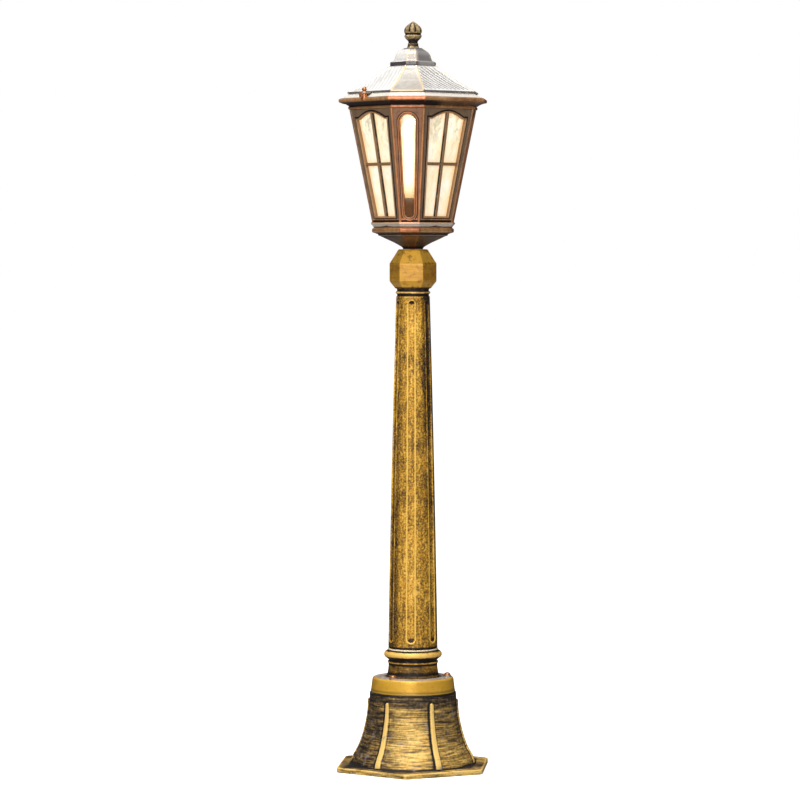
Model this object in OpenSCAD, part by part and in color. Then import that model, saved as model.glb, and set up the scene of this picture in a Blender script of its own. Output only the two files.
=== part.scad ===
// Garden style lantern post lamp: fluted column on a bell plinth, with an
// eight-sided glazed lantern and a hinged two-tier roof.
// Millimetres. Origin on the lamp's axis at the floor, front is -Y, up is +Z.

/* [Plinth] */
// Radius of the hexagonal foot flange, to its corners
flange_r = 135; // [130:1:137]
// Thickness of the foot flange
flange_t = 8; // [6:0.5:10]
// Height of the plinth up to the base cap
plinth_h = 124; // [121:0.5:126]
// Wall thickness of the plinth casting
plinth_wall = 4.5; // [3.5:0.5:5]
// How far the six ribs stand out of the bell
rib_proud = 2.6; // [1.5:0.1:3.5]
// Pitch circle diameter of the ground anchor holes
anchor_pcd = 156; // [150:1:158]
// Radius of each ground anchor hole
anchor_hole_r = 5.5; // [4.5:0.25:6]

/* [Base cap] */
// Height of the plain band under the column
cap_h = 24.5; // [23:0.5:28]
// Radius of the band at its lower edge
cap_low_r = 68; // [67:0.5:69]
// Radius of the band at its upper edge
cap_top_r = 65.2; // [64.5:0.1:67]
// Pitch circle radius of the three cap bolts
cap_bolt_pcr = 55.5; // [54:0.5:56]

/* [Column] */
// Height of the turned foot collar
foot_h = 47.5; // [46:0.5:49]
// Height of the fluted shaft
shaft_h = 564.5; // [540:0.5:590]
// Shaft radius at its foot
shaft_r0 = 39.6; // [38.6:0.1:40]
// Shaft radius at its top
shaft_r1 = 26.9; // [26:0.1:27.5]
// Extra radius at mid height, which gives the shaft its slight swell
shaft_swell = 1; // [0:0.1:1.5]
// Wall thickness of the shaft
shaft_wall = 4.5; // [4:0.25:6]
// Number of flutes round the shaft
flute_n = 6; // [6:1:6]
// Depth of a flute
flute_depth = 2; // [1.2:0.1:2.2]

/* [Lantern] */
// Half distance between opposite narrow faces at the foot of the panels
cage_dn0 = 64.8; // [63:0.2:66]
// Half distance between opposite narrow faces at the head of the panels
cage_dn1 = 98.3; // [96:0.2:99]
// Half width of a narrow face at the foot of the panels
cage_wn0 = 15.4; // [15:0.1:16]
// Half width of a narrow face at the head of the panels
cage_wn1 = 26; // [25:0.1:27]
// Thickness of the cast side panels
panel_t = 4; // [3.5:0.25:4.5]
// Thickness of the glass
glass_t = 2.5; // [2:0.25:3]
// Half distance between opposite narrow faces at the cornice tip
cornice_dn = 116.9; // [114:0.1:116.9]

/* [Lamp] */
// Radius of the bulb
bulb_r = 21; // [18:0.5:22.5]
// Height of the bulb's glass above the lampholder
bulb_glass_h = 128; // [110:1:130]

/* [Hidden] */
$fn = 96;

// Heights of the stack
z_plinth = plinth_h;
z_cap = z_plinth + cap_h;
z_foot = z_cap + foot_h;
z_shaft = z_foot + shaft_h;
neck_h = 12.5;
z_neck = z_shaft + neck_h;
capital_h = 63;
z_bowl = z_neck + capital_h;          // underside of the lantern bowl
z_rim = z_bowl + 34;                  // top of the bowl
z_panel = z_rim + 14;                 // foot of the side panels
z_ref = z_panel + 4;                  // foot of the window openings
z_head = z_panel + 174.5;             // head of the side panels
z_seat = z_head + 24.9;               // seat of the roof
z_roof = z_seat + 0.6;                // underside of the roof rim
z_tier = z_roof + 44;                 // underside of the upper tier
z_fin = z_tier + 29.5;                // foot of the finial
hinge_d = 99.5;                       // hinge pin's distance from the lamp's axis
hinge_z = z_roof + 3.4;
latch_d = 100.5;                      // thumb screw's distance from the lamp's axis
holder_z = z_rim + 4;                 // foot of the lampholder
glass_z = holder_z + 44;              // foot of the bulb's glass
sq2 = sqrt(2);

// Colours
gold = [0.72, 0.53, 0.20];
gold_bright = [0.86, 0.64, 0.26];
bronze = [0.36, 0.22, 0.13];
copper = [0.72, 0.38, 0.20];
steel = [0.66, 0.67, 0.68];
brass = [0.78, 0.62, 0.30];

// ---------- shared shapes ----------

// Octagon with four narrow faces towards X and Y and four wide diagonal ones
function oct(dn, wn) = [[-wn, -dn], [wn, -dn], [dn, -wn], [dn, wn],
                        [wn, dn], [-wn, dn], [-dn, wn], [-dn, -wn]];

// Closed solid through octagonal rings, each [z, half distance, half narrow width]
module oct_loft(lv) {
    n = len(lv);
    pts = [for (l = lv) for (p = oct(l[1], l[2])) [p[0], p[1], l[0]]];
    sides = [for (i = [0:n - 2]) for (j = [0:7])
        [i * 8 + j, (i + 1) * 8 + j, (i + 1) * 8 + (j + 1) % 8, i * 8 + (j + 1) % 8]];
    polyhedron(points = pts, faces = concat(
        [[for (j = [0:7]) j]], sides, [[for (j = [7:-1:0]) (n - 1) * 8 + j]]));
}

// Rod between two points
module rod(p, q, r) {
    d = q - p;
    len_ = norm(d);
    translate(p) rotate([0, acos(d[2] / len_), atan2(d[1], d[0])]) cylinder(h = len_, r = r, $fn = 32);
}

module slab(z0, z1) { translate([-160, -160, z0]) cube([320, 320, z1 - z0]); }

// Ring between two radii
module ring(ro, ri, h) { difference() { cylinder(h = h, r = ro); translate([0, 0, -1]) cylinder(h = h + 2, r = ri); } }

// Hexagon nut
module hexnut(af, h, r) { difference() { cylinder(h = h, r = af / sqrt(3), $fn = 6); translate([0, 0, -1]) cylinder(h = h + 2, r = r); } }

// Places its children at angle a from the front and at distance d from the axis
module at(a, d, z = 0) { rotate([0, 0, a]) translate([0, -d, z]) children(); }

// Smooth curve through profile points: Catmull-Rom on [z, r] pairs
function cr(p0, p1, p2, p3, t) = 0.5 * (2 * p1 + (p2 - p0) * t + (2 * p0 - 5 * p1 + 4 * p2 - p3) * t * t + (3 * p1 - p0 - 3 * p2 + p3) * t * t * t);
function smooth(p, m) = concat([for (i = [0:len(p) - 2]) for (k = [0:m - 1])
    cr(p[max(i - 1, 0)], p[i], p[i + 1], p[min(i + 2, len(p) - 1)], k / m)], [p[len(p) - 1]]);
function rz(p) = [for (q = p) [q[1], q[0]]];
function rev(p) = [for (i = [len(p) - 1:-1:0]) p[i]];
function grow(p, d) = [for (q = p) [q[0], q[1] + d]];

// ---------- plinth ----------

bell_pts = [[flange_t, 97.6], [14, 96.6], [22, 93.4], [36, 85.8], [54, 79.2],
            [73, 74.4], [92, 71.2], [plinth_h - 7, 69.8], [plinth_h, 69.2]];
bell = smooth(bell_pts, 2);
rib_angles = [30, 90, 150, 210, 270, 330];
bolt_angles = [-30, 90, 210];
anchor_angles = [30, 150, 270];

module rib_ring() {
    intersection() {
        rotate_extrude() polygon(concat(rz([for (q = grow(bell, rib_proud)) if (q[0] < plinth_h - 6) q]),
            rev(rz([for (q = grow(bell, -2)) if (q[0] < plinth_h - 6) q]))));
        union() for (a = rib_angles) at(a, 50) rotate([90, 0, 0]) linear_extrude(70)
            union() {
                polygon([[-5.4, 0], [5.4, 0], [3.3, plinth_h - 15], [-3.3, plinth_h - 15]]);
                translate([0, plinth_h - 15]) circle(r = 3.3, $fn = 32);
            }
    }
}

module base_plinth() {
    color(gold) difference() {
        union() {
            rotate([0, 0, 30]) cylinder(h = flange_t, r = flange_r, $fn = 6);
            rotate_extrude() polygon(concat([[0, 1]], [[bell[0][1], 1]], rz(bell), [[0, plinth_h]]));
            rib_ring();
        }
        // hollow bell, open below
        difference() {
            rotate_extrude() polygon(concat([[0, -1], [93.4, -1]],
                rz([for (q = grow(bell, -plinth_wall)) if (q[0] < plinth_h - 8) q]),
                [[64, plinth_h - 6], [0, plinth_h - 6]]));
            // bosses that take the cap bolts
            for (a = bolt_angles) at(a, cap_bolt_pcr, plinth_h - 24) cylinder(h = 25, r = 6.5);
            // lugs that take the ground anchors
            for (a = anchor_angles) intersection() {
                at(a, anchor_pcd / 2, -0.001) union() {
                    cylinder(h = flange_t, r = 12);
                    translate([-12, -40, 0]) cube([24, 40, flange_t]);
                }
                cylinder(h = 30, r = 104);
            }
        }
        for (a = anchor_angles) at(a, anchor_pcd / 2, -1) cylinder(h = flange_t + 2, r = anchor_hole_r);
        for (a = bolt_angles) at(a, cap_bolt_pcr, plinth_h - 20) cylinder(h = 30, r = 2.5);
        // way for the centre tube
        translate([0, 0, plinth_h - 20]) cylinder(h = 40, r = 5.3);
        // thread for the earth screw and the terminal block's screws
        at(0, 30, plinth_h - 7) cylinder(h = 5, r = 1.7);
        for (x = [-16, 16]) translate([x, 34, plinth_h - 7]) cylinder(h = 5, r = 1.5);
    }
}

module base_cap() {
    color(gold_bright) difference() {
        rotate_extrude() polygon([[0, z_plinth], [cap_low_r - 0.8, z_plinth], [cap_low_r, z_plinth + 1.2],
            [cap_low_r, z_plinth + 4], [cap_top_r + 1.4, z_plinth + 14], [cap_top_r, z_cap - 3], [cap_top_r - 1.2, z_cap - 0.6],
            [cap_top_r - 2.4, z_cap], [0, z_cap]]);
        difference() {
            translate([0, 0, z_plinth - 1]) cylinder(h = cap_h - 4, r = 60);
            for (a = bolt_angles) at(a, cap_bolt_pcr, z_plinth - 1) cylinder(h = cap_h, r = 6.2);
            translate([0, 0, z_plinth - 1]) cylinder(h = cap_h, r = 14);
        }
        for (a = bolt_angles) at(a, cap_bolt_pcr, z_plinth - 1) cylinder(h = cap_h + 2, r = 2.8);
        translate([0, 0, z_plinth - 1]) cylinder(h = cap_h + 2, r = 5.3);
    }
}

module cap_washers() {
    color(steel) for (a = bolt_angles) at(a, cap_bolt_pcr, z_cap) ring(6.6, 2.8, 1.6);
}

module cap_bolts() {
    color(copper) for (a = bolt_angles) at(a, cap_bolt_pcr, z_cap + 1.6) rotate_extrude()
        polygon(concat([[0, -42], [2.4, -42], [2.45, -41], [2.45, 0], [5.4, 0], [5.4, 1]],
            [for (t = [10:10:80]) [5.4 * cos(t), 1 + 3.9 * sin(t)]], [[0, 4.9]]));
}

// ---------- column ----------

module column_foot() {
    c = z_cap + 36;   // height of the torus
    color(gold) difference() {
        rotate_extrude() polygon(concat(
            [[0, z_cap], [41.4, z_cap], [42.2, z_cap + 1], [42, z_cap + 3.5]],
            [[40.9, z_cap + 8], [39.9, z_cap + 13], [39.5, z_cap + 18], [39.5, z_cap + 22],
             [40.4, z_cap + 22.6], [40.6, z_cap + 24.6], [39.9, z_cap + 25.4], [40.4, z_cap + 27], [41.2, z_cap + 29]],
            [for (t = [-80:16:80]) [40.6 + 6 * cos(t), c + 6 * sin(t)]],
            [[39.9, c + 6.2], [39.9, c + 7], [40.7, c + 7.3], [41, c + 8.3], [40.6, c + 9.2], [38.4, c + 9.5],
             [38.4, z_foot], [34.6, z_foot], [34.6, z_foot + 14], [33.6, z_foot + 15], [0, z_foot + 15]]));
        translate([0, 0, z_cap + 6]) cylinder(h = 80, r = 29);
        translate([0, 0, z_cap - 1]) cylinder(h = 10, r = 5.3);
    }
}

// Radius of the shaft at a height
function shaft_r(t) = shaft_r0 + (shaft_r1 - shaft_r0) * t + shaft_swell * 4 * t * (1 - t);
shaft_out = [for (i = [0:12]) [shaft_r(i / 12), z_foot + 0 + shaft_h * i / 12]];

module column_shaft() {
    f0 = 16;          // flute ends above the foot and below the top
    rc = 12.5;
    r_a = shaft_r(f0 / shaft_h);
    r_b = shaft_r(1 - f0 / shaft_h);
    color(gold) difference() {
        rotate_extrude() polygon(concat(shaft_out,
            [[shaft_r1 - shaft_wall, z_shaft]],
            [for (i = [12:-1:1]) [shaft_r(i / 12) - shaft_wall, z_foot + shaft_h * i / 12 - 0.01]],
            [[34.7, z_foot + 30], [34.7, z_foot]]));
        for (k = [0:flute_n - 1]) rotate([0, 0, 360 / flute_n * k])
            rod([0, -(r_a + rc - flute_depth), z_foot + f0], [0, -(r_b + rc - 1.9), z_shaft - f0], rc);
    }
}

module neck_ring() {
    color(gold) difference() {
        rotate_extrude() polygon([[0, z_shaft], [26, z_shaft], [26, z_shaft + 4.2], [27.3, z_shaft + 4.8],
            [27.8, z_shaft + 6.3], [27.3, z_shaft + 8], [26.4, z_shaft + 8.6], [26.4, z_neck], [0, z_neck]]);
        translate([0, 0, z_shaft - 1]) cylinder(h = neck_h + 2, r = 5.3);
        translate([0, 0, z_shaft - 1]) cylinder(h = 8, r = 18);
    }
}

module capital() {
    module hex_solid(lv) {
        n = len(lv);
        pts = [for (l = lv) for (j = [0:5]) [l[1] * cos(60 * j), l[1] * sin(60 * j), l[0]]];
        polyhedron(points = pts, faces = concat([[for (j = [0:5]) j]],
            [for (i = [0:n - 2]) for (j = [0:5]) [i * 6 + j, (i + 1) * 6 + j, (i + 1) * 6 + (j + 1) % 6, i * 6 + (j + 1) % 6]],
            [[for (j = [5:-1:0]) (n - 1) * 6 + j]]));
    }
    color(gold_bright) difference() {
        hex_solid([[z_neck, 28.6], [z_neck + 1, 29.2], [z_neck + 11, 37.4], [z_neck + 12, 38], [z_neck + 40, 38], [z_neck + 41, 37.5],
                   [z_bowl - 1, 24], [z_bowl, 23]]);
        translate([0, 0, z_neck - 1]) cylinder(h = capital_h + 2, r = 5.3);
        translate([0, 0, z_neck + 5]) rotate_extrude() polygon([[5.2, -7], [19, -7], [26, 6], [26, 30], [14, 44], [5.2, 44]]);
    }
}

// ---------- tie tube and wiring ----------

module centre_tube() {
    color(steel) translate([0, 0, z_plinth - 24]) ring(5, 3.7, z_rim + 10 - z_plinth + 24);
}
module tube_washer_lower() { color(steel) translate([0, 0, z_plinth - 8]) ring(13, 5.1, 2); }
module tube_nut_lower() { color(brass) translate([0, 0, z_plinth - 14]) hexnut(17, 6, 5.05); }
module tube_washer_upper() { color(steel) translate([0, 0, z_bowl + 9]) ring(11, 5.1, 2); }
module tube_nut_upper() { color(brass) translate([0, 0, z_bowl + 11]) hexnut(17, 6, 5.05); }

term_x = [-9.2, 0, 9.2];
module terminal_block() {
    color([0.85, 0.83, 0.76]) difference() {
        translate([-19, 27, z_plinth - 19]) union() {
            cube([38, 14, 5]);
            for (x = [5.4, 14.6, 23.8]) translate([x, 1, 0]) cube([8.8, 12, 12.4]);
            for (x = [3, 35]) translate([x, 7, 4]) cylinder(h = 9, r = 3);
        }
        for (x = [-16, 16]) translate([x, 34, z_plinth - 20]) cylinder(h = 20, r = 1.8);
        for (x = term_x) translate([x, 26, z_plinth - 10.5]) rotate([-90, 0, 0]) cylinder(h = 20, r = 1.6);
        for (x = term_x) translate([x, 34, z_plinth - 24]) cylinder(h = 12, r = 1.3);
    }
}
module terminal_screws() {
    color(brass) for (x = term_x) translate([x, 34, 0]) union() {
        translate([0, 0, z_plinth - 20.2]) cylinder(h = 1.2, r = 2.4);
        translate([0, 0, z_plinth - 19.5]) cylinder(h = 6, r = 1.25);
    }
}
module block_screws() {
    color(steel) for (x = [-16, 16]) translate([x, 34, 0]) union() {
        translate([0, 0, z_plinth - 21]) cylinder(h = 2, r = 3);
        translate([0, 0, z_plinth - 20]) cylinder(h = 17, r = 1.45);
    }
}
module earth_screw() {
    color(brass) at(0, 30) union() {
        translate([0, 0, z_plinth - 9]) cylinder(h = 3, r = 3.4);
        translate([0, 0, z_plinth - 7]) cylinder(h = 4.5, r = 1.65);
    }
}

// Swept tube along a list of points, each ring square to the path
function unit(v) = v / norm(v);
function tangent(p, i) = unit(p[min(i + 1, len(p) - 1)] - p[max(i - 1, 0)]);
function sidev(t) = unit(cross(t, [0, 1, 0.001]));
module sweep(p, r, n) {
    m = len(p);
    pts = [for (i = [0:m - 1]) let (t = tangent(p, i), s = sidev(t), u = cross(t, s))
        for (j = [0:n - 1]) p[i] + r * (cos(360 / n * j) * s + sin(360 / n * j) * u)];
    polyhedron(points = pts, faces = concat([[for (j = [n - 1:-1:0]) j]],
        [for (i = [0:m - 2]) for (j = [0:n - 1]) [i * n + j, i * n + (j + 1) % n, (i + 1) * n + (j + 1) % n, (i + 1) * n + j]],
        [[for (j = [0:n - 1]) (m - 1) * n + j]]));
}
lead_ctrl = [[0, 0, holder_z + 12], [0, 0, z_rim], [0, 0, 700], [0, 0, 500], [0, 0, 300], [0, 0, 160], [0, 0, z_plinth - 16], [0, 1, z_plinth - 24],
             [0, 5, z_plinth - 28.5], [0, 12, z_plinth - 27], [0, 19, z_plinth - 20], [0, 23.5, z_plinth - 12.5], [0, 26.8, z_plinth - 10.5]];
lead_path = concat([for (i = [0:5]) lead_ctrl[i]], [for (i = [6:len(lead_ctrl) - 2]) for (k = [0:3])
    cr(lead_ctrl[i - 1], lead_ctrl[i], lead_ctrl[i + 1], lead_ctrl[min(i + 2, len(lead_ctrl) - 1)], k / 4)], [lead_ctrl[len(lead_ctrl) - 1]]);
module inner_lead() { color([0.15, 0.15, 0.16]) sweep(lead_path, 2.6, 10); }

// ---------- lantern ----------

wn_k = (cage_wn1 - cage_wn0) / (z_head - z_ref);
dn_k = (cage_dn1 - cage_dn0) / (z_head - z_ref);
function dn_at(z) = cage_dn0 + (z - z_ref) * dn_k;
function wn_at(z) = cage_wn0 + (z - z_ref) * wn_k;
lean_n = atan(dn_k);                          // lean of a narrow face
lean_w = atan((dn_k + wn_k) / sq2);           // lean of a wide face
function v_n(z) = (z - z_ref) / cos(lean_n);
function v_w(z) = (z - z_ref) / cos(lean_w);

module lantern_bowl() {
    z = z_bowl;
    color(bronze) difference() {
        oct_loft([[z, 15.8, 4], [z + 2.5, 16.4, 4.2], [z + 4.5, 19, 4.7], [z + 10.5, 29.5, 7.2], [z + 16.5, 42.5, 10.4], [z + 21, 51.5, 12.6],
                  [z + 22.6, 53, 13], [z + 23.2, 57.4, 14], [z + 25.6, 60.6, 14.8], [z + 27.4, 64, 15.6], [z + 32, 64.6, 15.7], [z + 34, 63.6, 15.5]]);
        oct_loft([[z + 9, 18, 4.6], [z + 15.5, 32, 7.8], [z + 21.5, 45, 11], [z + 27, 54.5, 13.3], [z + 36, 54.5, 13.3]]);
        translate([0, 0, z - 1]) cylinder(h = 20, r = 5.3);
        for (k = [0:3]) rotate([0, 0, 90 * k + 45]) translate([0, -50.6, z + 20]) union() {
            cylinder(h = 30, r = 1.8);
            cylinder(h = 6.5, r = 3.1);
        }
    }
}

module lower_rail() {
    z = z_rim;
    color(bronze) difference() {
        oct_loft([[z, 61.4, 15], [z + 5.4, 61.4, 15], [z + 6, 64.6, 15.8], [z + 7, 66.2, 16.2], [z + 12.6, 66.2, 16.2], [z + 14, 65, 15.9]]);
        oct_loft([[z - 1, 50.5, 12.2], [z + 16, 50.5, 12.2]]);
        for (k = [0:3]) rotate([0, 0, 90 * k + 45]) translate([0, -50.6, z - 1]) cylinder(h = 9, r = 1.6);
        dowel_set(1.22, z_panel, 29);
    }
}

module rail_screws() {
    color(steel) for (k = [0:3]) rotate([0, 0, 90 * k + 45]) translate([0, -50.6, z_rim]) union() {
        translate([0, 0, -7.6]) cylinder(h = 14.4, r = 1.55);
        translate([0, 0, -9.5]) cylinder(h = 2, r = 2.9);
    }
}

// Dowels in the plane of the wide panels, standing through the height z
module dowel_set(r, z, u) {
    for (k = [0:3]) for (s = [-1, 1]) on_wide(k) translate([s * u, v_w(z) - 6, -panel_t / 2]) rotate([-90, 0, 0]) cylinder(h = 12, r = r, $fn = 32);
}
module panel_dowels() {
    color(steel) { dowel_set(1.18, z_panel, 29); dowel_set(1.18, z_head, 41); }
}

// Corner beads of one narrow face
module corner_rods(r) {
    for (s = [-1, 1]) rod([s * (wn_at(z_panel - 6) - 0.46), -(dn_at(z_panel - 6) - 1.1), z_panel - 6],
        [s * (wn_at(z_head + 6) - 0.46), -(dn_at(z_head + 6) - 1.1), z_head + 6], r);
}

// Outline of a slot with round ends, from radius r0 at v0 to radius r1 at v1
function stadium(r0, v0, r1, v1) = let (a = asin((r1 - r0) / (v1 - v0))) concat(
    [for (t = [-a:(180 + 2 * a) / 16:180 + a + 0.01]) [r1 * cos(t), v1 + r1 * sin(t)]],
    [for (t = [180 + a:(180 - 2 * a) / 16:360 - a + 0.01]) [r0 * cos(t), v0 + r0 * sin(t)]]);

module on_narrow(k) { rotate([0, 0, 90 * k]) translate([0, -cage_dn0, z_ref]) rotate([90 + lean_n, 0, 0]) children(); }
module on_wide(k) { rotate([0, 0, 90 * k + 45]) translate([0, -(cage_dn0 + cage_wn0) / sq2, z_ref]) rotate([90 + lean_w, 0, 0]) children(); }

module narrow_plate(k) {
    on_narrow(k) translate([0, 0, -panel_t]) linear_extrude(panel_t)
        polygon([[-wn_at(z_ref - 12), -12], [wn_at(z_ref - 12), -12], [wn_at(z_head + 8), v_n(z_head + 8)], [-wn_at(z_head + 8), v_n(z_head + 8)]]);
}

module narrow_frames() {
    color(bronze) for (k = [0:3]) intersection() {
        slab(z_panel, z_head);
        difference() {
            union() {
                narrow_plate(k);
                on_narrow(k) translate([0, 0, -0.5]) linear_extrude(2.1) polygon(stadium(11.2, 7.6, 16.2, v_n(z_ref + 152.6)));
                rotate([0, 0, 90 * k]) corner_rods(2.8);
            }
            on_narrow(k) translate([0, 0, -panel_t - 3]) linear_extrude(panel_t + 8) polygon(stadium(7, 7.6, 12, v_n(z_ref + 152.6)));
        }
    }
}

// Shouldered arch of a wide window, grown by o on every side
win_b = 24.2;          // half width at the sill
win_k = 0.082;         // growth of the half width with height
win_s = v_w(z_ref + 153.5);   // height of the shoulders
win_rise = 10.5;
function win(o) = let (U = win_b + win_k * win_s - 4.6 + o) concat(
    [[-(win_b + o), -o], [win_b + o, -o], [win_b + win_k * win_s + o, win_s + o]],
    [for (t = [0:11.25:180]) [U * cos(t), win_s + o + win_rise * pow(sin(t), 0.75)]],
    [[-(win_b + win_k * win_s + o), win_s + o]]);

module wide_frames() {
    hb = (cage_dn0 - cage_wn0) / sq2;
    hk = (dn_k - wn_k) / sq2;
    color(bronze) for (k = [0:3]) intersection() {
        slab(z_panel, z_head);
        difference() {
            union() {
                on_wide(k) translate([0, 0, -panel_t]) linear_extrude(panel_t) difference() {
                    polygon([[-(hb - 12 * hk - 1.3), -12], [hb - 12 * hk - 1.3, -12], [hb + hk * (z_head - z_ref + 8) - 1.3, v_w(z_head + 8)],
                             [-(hb + hk * (z_head - z_ref + 8) - 1.3), v_w(z_head + 8)]]);
                    polygon(win(0));
                }
                on_wide(k) linear_extrude(1.8) difference() { polygon(win(3.2)); polygon(win(0)); }
                on_wide(k) translate([0, 0, -panel_t]) linear_extrude(panel_t + 0.6) {
                    translate([-2.2, -1]) square([4.4, win_s + win_rise + 1.6]);
                    translate([-(win_b + win_k * 84 + 0.5), v_w(z_ref + 80.5)]) square([2 * (win_b + win_k * 84 + 0.5), 4.6]);
                }
            }
            rotate([0, 0, 90 * k]) corner_rods(2.8);
            rotate([0, 0, 90 * k + 90]) corner_rods(2.8);
            narrow_plate(k);
            narrow_plate(k + 1);
            dowel_set(1.22, z_panel, 29);
            dowel_set(1.22, z_head, 41);
        }
    }
}

module narrow_glass() {
    color([0.95, 0.88, 0.7, 0.5]) for (k = [0:3]) intersection() {
        slab(z_panel, z_head);
        on_narrow(k) translate([0, 0, -panel_t - glass_t]) linear_extrude(glass_t)
            polygon([[-10.4, -2.8], [10.4, -2.8], [19, v_n(z_head) - 3], [-19, v_n(z_head) - 3]]);
    }
}
module wide_glass() {
    color([0.95, 0.88, 0.7, 0.5]) for (k = [0:3]) intersection() {
        slab(z_panel, z_head);
        on_wide(k) translate([0, 0, -panel_t - glass_t]) linear_extrude(glass_t)
            polygon([[-28.4, -2.8], [28.4, -2.8], [43, v_w(z_head) - 3], [-43, v_w(z_head) - 3]]);
    }
}

// Z-shaped spring clip: foot on the panel's back, nose on the glass
module clip_shape(s) {
    mirror([s < 0 ? 1 : 0, 0, 0]) rotate([90, 0, 0]) translate([0, 0, -4]) linear_extrude(8)
        polygon([[0.1, -panel_t], [3, -panel_t], [3, -panel_t - 1], [1, -panel_t - 1], [1, -panel_t - glass_t - 1],
                 [-5, -panel_t - glass_t - 1], [-5, -panel_t - glass_t], [0.1, -panel_t - glass_t]]);
}
clip_z = [30, 142];
module glass_clips() {
    color(steel) for (k = [0:3]) for (z = clip_z) for (s = [-1, 1])
        on_wide(k) translate([s * (28.4 + 0.0851 * z + 1.2), v_w(z_ref + z), 0]) clip_shape(s);
}
module clip_screws() {
    color(steel) for (k = [0:3]) for (z = clip_z) for (s = [-1, 1])
        on_wide(k) translate([s * (28.4 + 0.0851 * z + 3.2), v_w(z_ref + z), -panel_t - 1.9]) cylinder(h = 0.9, r = 0.95, $fn = 24);
}

module cornice() {
    z = z_head;
    color(bronze) difference() {
        oct_loft([[z, 100.6, 26.4], [z + 0.8, 101.6, 26.7], [z + 4.6, 101.6, 26.7], [z + 5.4, 102.8, 27], [z + 7.6, 105.4, 27.4], [z + 9.6, 108.8, 28.1],
                  [z + 11.2, 113, 28.9], [z + 11.8, cornice_dn - 0.8, 29.4], [z + 12.6, cornice_dn, 29.6], [z + 16.2, cornice_dn, 29.6], [z + 17, cornice_dn - 0.9, 29.4],
                  [z + 19, 110, 28.3], [z_seat, 101, 26.4]]);
        oct_loft([[z - 1, 88.4, 22.8], [z_seat + 1, 88.4, 22.8]]);
        dowel_set(1.22, z_head, 41);
        // seats of the latch boss and the hinge bracket
        at(-45, latch_d, z + 13.4) cylinder(h = 30, r = 4.6);
        rotate([0, 0, 135]) translate([-21, -hinge_d - 4.6, z + 15]) cube([42, 15, 20]);
        rotate([0, 0, 135]) for (x = [-5, 5]) translate([x, -hinge_d + 5.6, z + 9.6]) cylinder(h = 9, r = 1.6, $fn = 32);
    }
}
module roof_gasket() {
    color([0.12, 0.12, 0.12]) translate([0, 0, z_seat]) difference() {
        oct_loft([[0, 100.6, 26.3], [0.4, 100.6, 26.3]]);
        oct_loft([[-1, 96.4, 25.2], [2, 96.4, 25.2]]);
        rotate([0, 0, 135]) translate([-21, -hinge_d - 3.6, -2]) cube([42, 15, 20]);
        at(-45, latch_d, -2) cylinder(h = 30, r = 5);
    }
}

// ---------- roof joint pieces on the cornice ----------

module latch_boss() {
    color(copper) at(-45, latch_d, z_head + 13.4) difference() {
        cylinder(h = z_roof - 2.6 - z_head - 13.4, r = 4.5);
        translate([0, 0, 3]) cylinder(h = 30, r = 2.35);
    }
}

knuckle_r = 3.3;
pin_r = 1.6;
module hinge_bracket() {
    color(bronze) rotate([0, 0, 135]) difference() {
        union() {
            translate([-21, -hinge_d - 3.4, z_head + 15]) cube([42, 13.8, 4]);
            for (x = [-17, 9.3]) {
                translate([x, -hinge_d, hinge_z]) rotate([0, 90, 0]) cylinder(h = 7.7, r = knuckle_r);
                translate([x, -hinge_d - 2, z_head + 17]) cube([7.7, 4, hinge_z - z_head - 17]);
            }
        }
        translate([-30, -hinge_d, hinge_z]) rotate([0, 90, 0]) cylinder(h = 60, r = pin_r);
        for (x = [-5, 5]) translate([x, -hinge_d + 5.6, z_head + 10]) cylinder(h = 20, r = 1.6);
    }
}
module hinge_screws() {
    color(steel) rotate([0, 0, 135]) for (x = [-5, 5]) translate([x, -hinge_d + 5.6, 0]) union() {
        translate([0, 0, z_head + 9.8]) cylinder(h = 10, r = 1.55, $fn = 32);
        translate([0, 0, z_head + 19]) cylinder(h = 1.4, r = 2.8, $fn = 32);
    }
}
module hinge_pin() {
    color(steel) rotate([0, 0, 135]) translate([-18.5, -hinge_d, hinge_z]) rotate([0, 90, 0]) cylinder(h = 37, r = pin_r - 0.01);
}

// ---------- lampholder ----------

module holder_cup() {
    color([0.30, 0.17, 0.10]) difference() {
        translate([0, 0, holder_z]) rotate_extrude() polygon([[0, 0], [8, 0], [9.5, 1], [9.8, 6], [15, 9], [18.8, 13], [19.4, 16], [19.4, 17], [0, 17]]);
        translate([0, 0, holder_z - 1]) cylinder(h = 20, r = 5.05);
        translate([0, 0, holder_z + 9.5]) cylinder(h = 20, r = 12);
        translate([0, 0, holder_z + 13]) cylinder(h = 20, r = 14.5);
    }
}
module holder_insert() {
    color([0.88, 0.86, 0.80]) translate([0, 0, holder_z + 13]) difference() {
        cylinder(h = 6.5, r = 14.3);
        translate([0, 0, -1]) cylinder(h = 10, r = 3);
    }
}
module holder_shell() {
    color(brass) translate([0, 0, holder_z + 19.5]) ring(14.4, 13.75, 20.5);
}
module holder_skirt() {
    color([0.30, 0.17, 0.10]) translate([0, 0, holder_z + 17]) difference() {
        rotate_extrude() polygon([[14.5, 0], [19.4, 0], [19.6, 3], [19.2, 7], [18.6, 10], [18.6, 12], [19, 13], [18.4, 25], [17.6, 26.4], [14.9, 26.4], [14.5, 25.6]]);
    }
}
module holder_contact() {
    color(brass) translate([0, 0, holder_z + 19.5]) union() {
        translate([-9, -2.5, 0]) cube([14, 5, 0.5]);
        translate([-2.5, -2.5, 0]) cube([5, 5, 1.4]);
    }
}

// ---------- roof ----------

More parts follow.
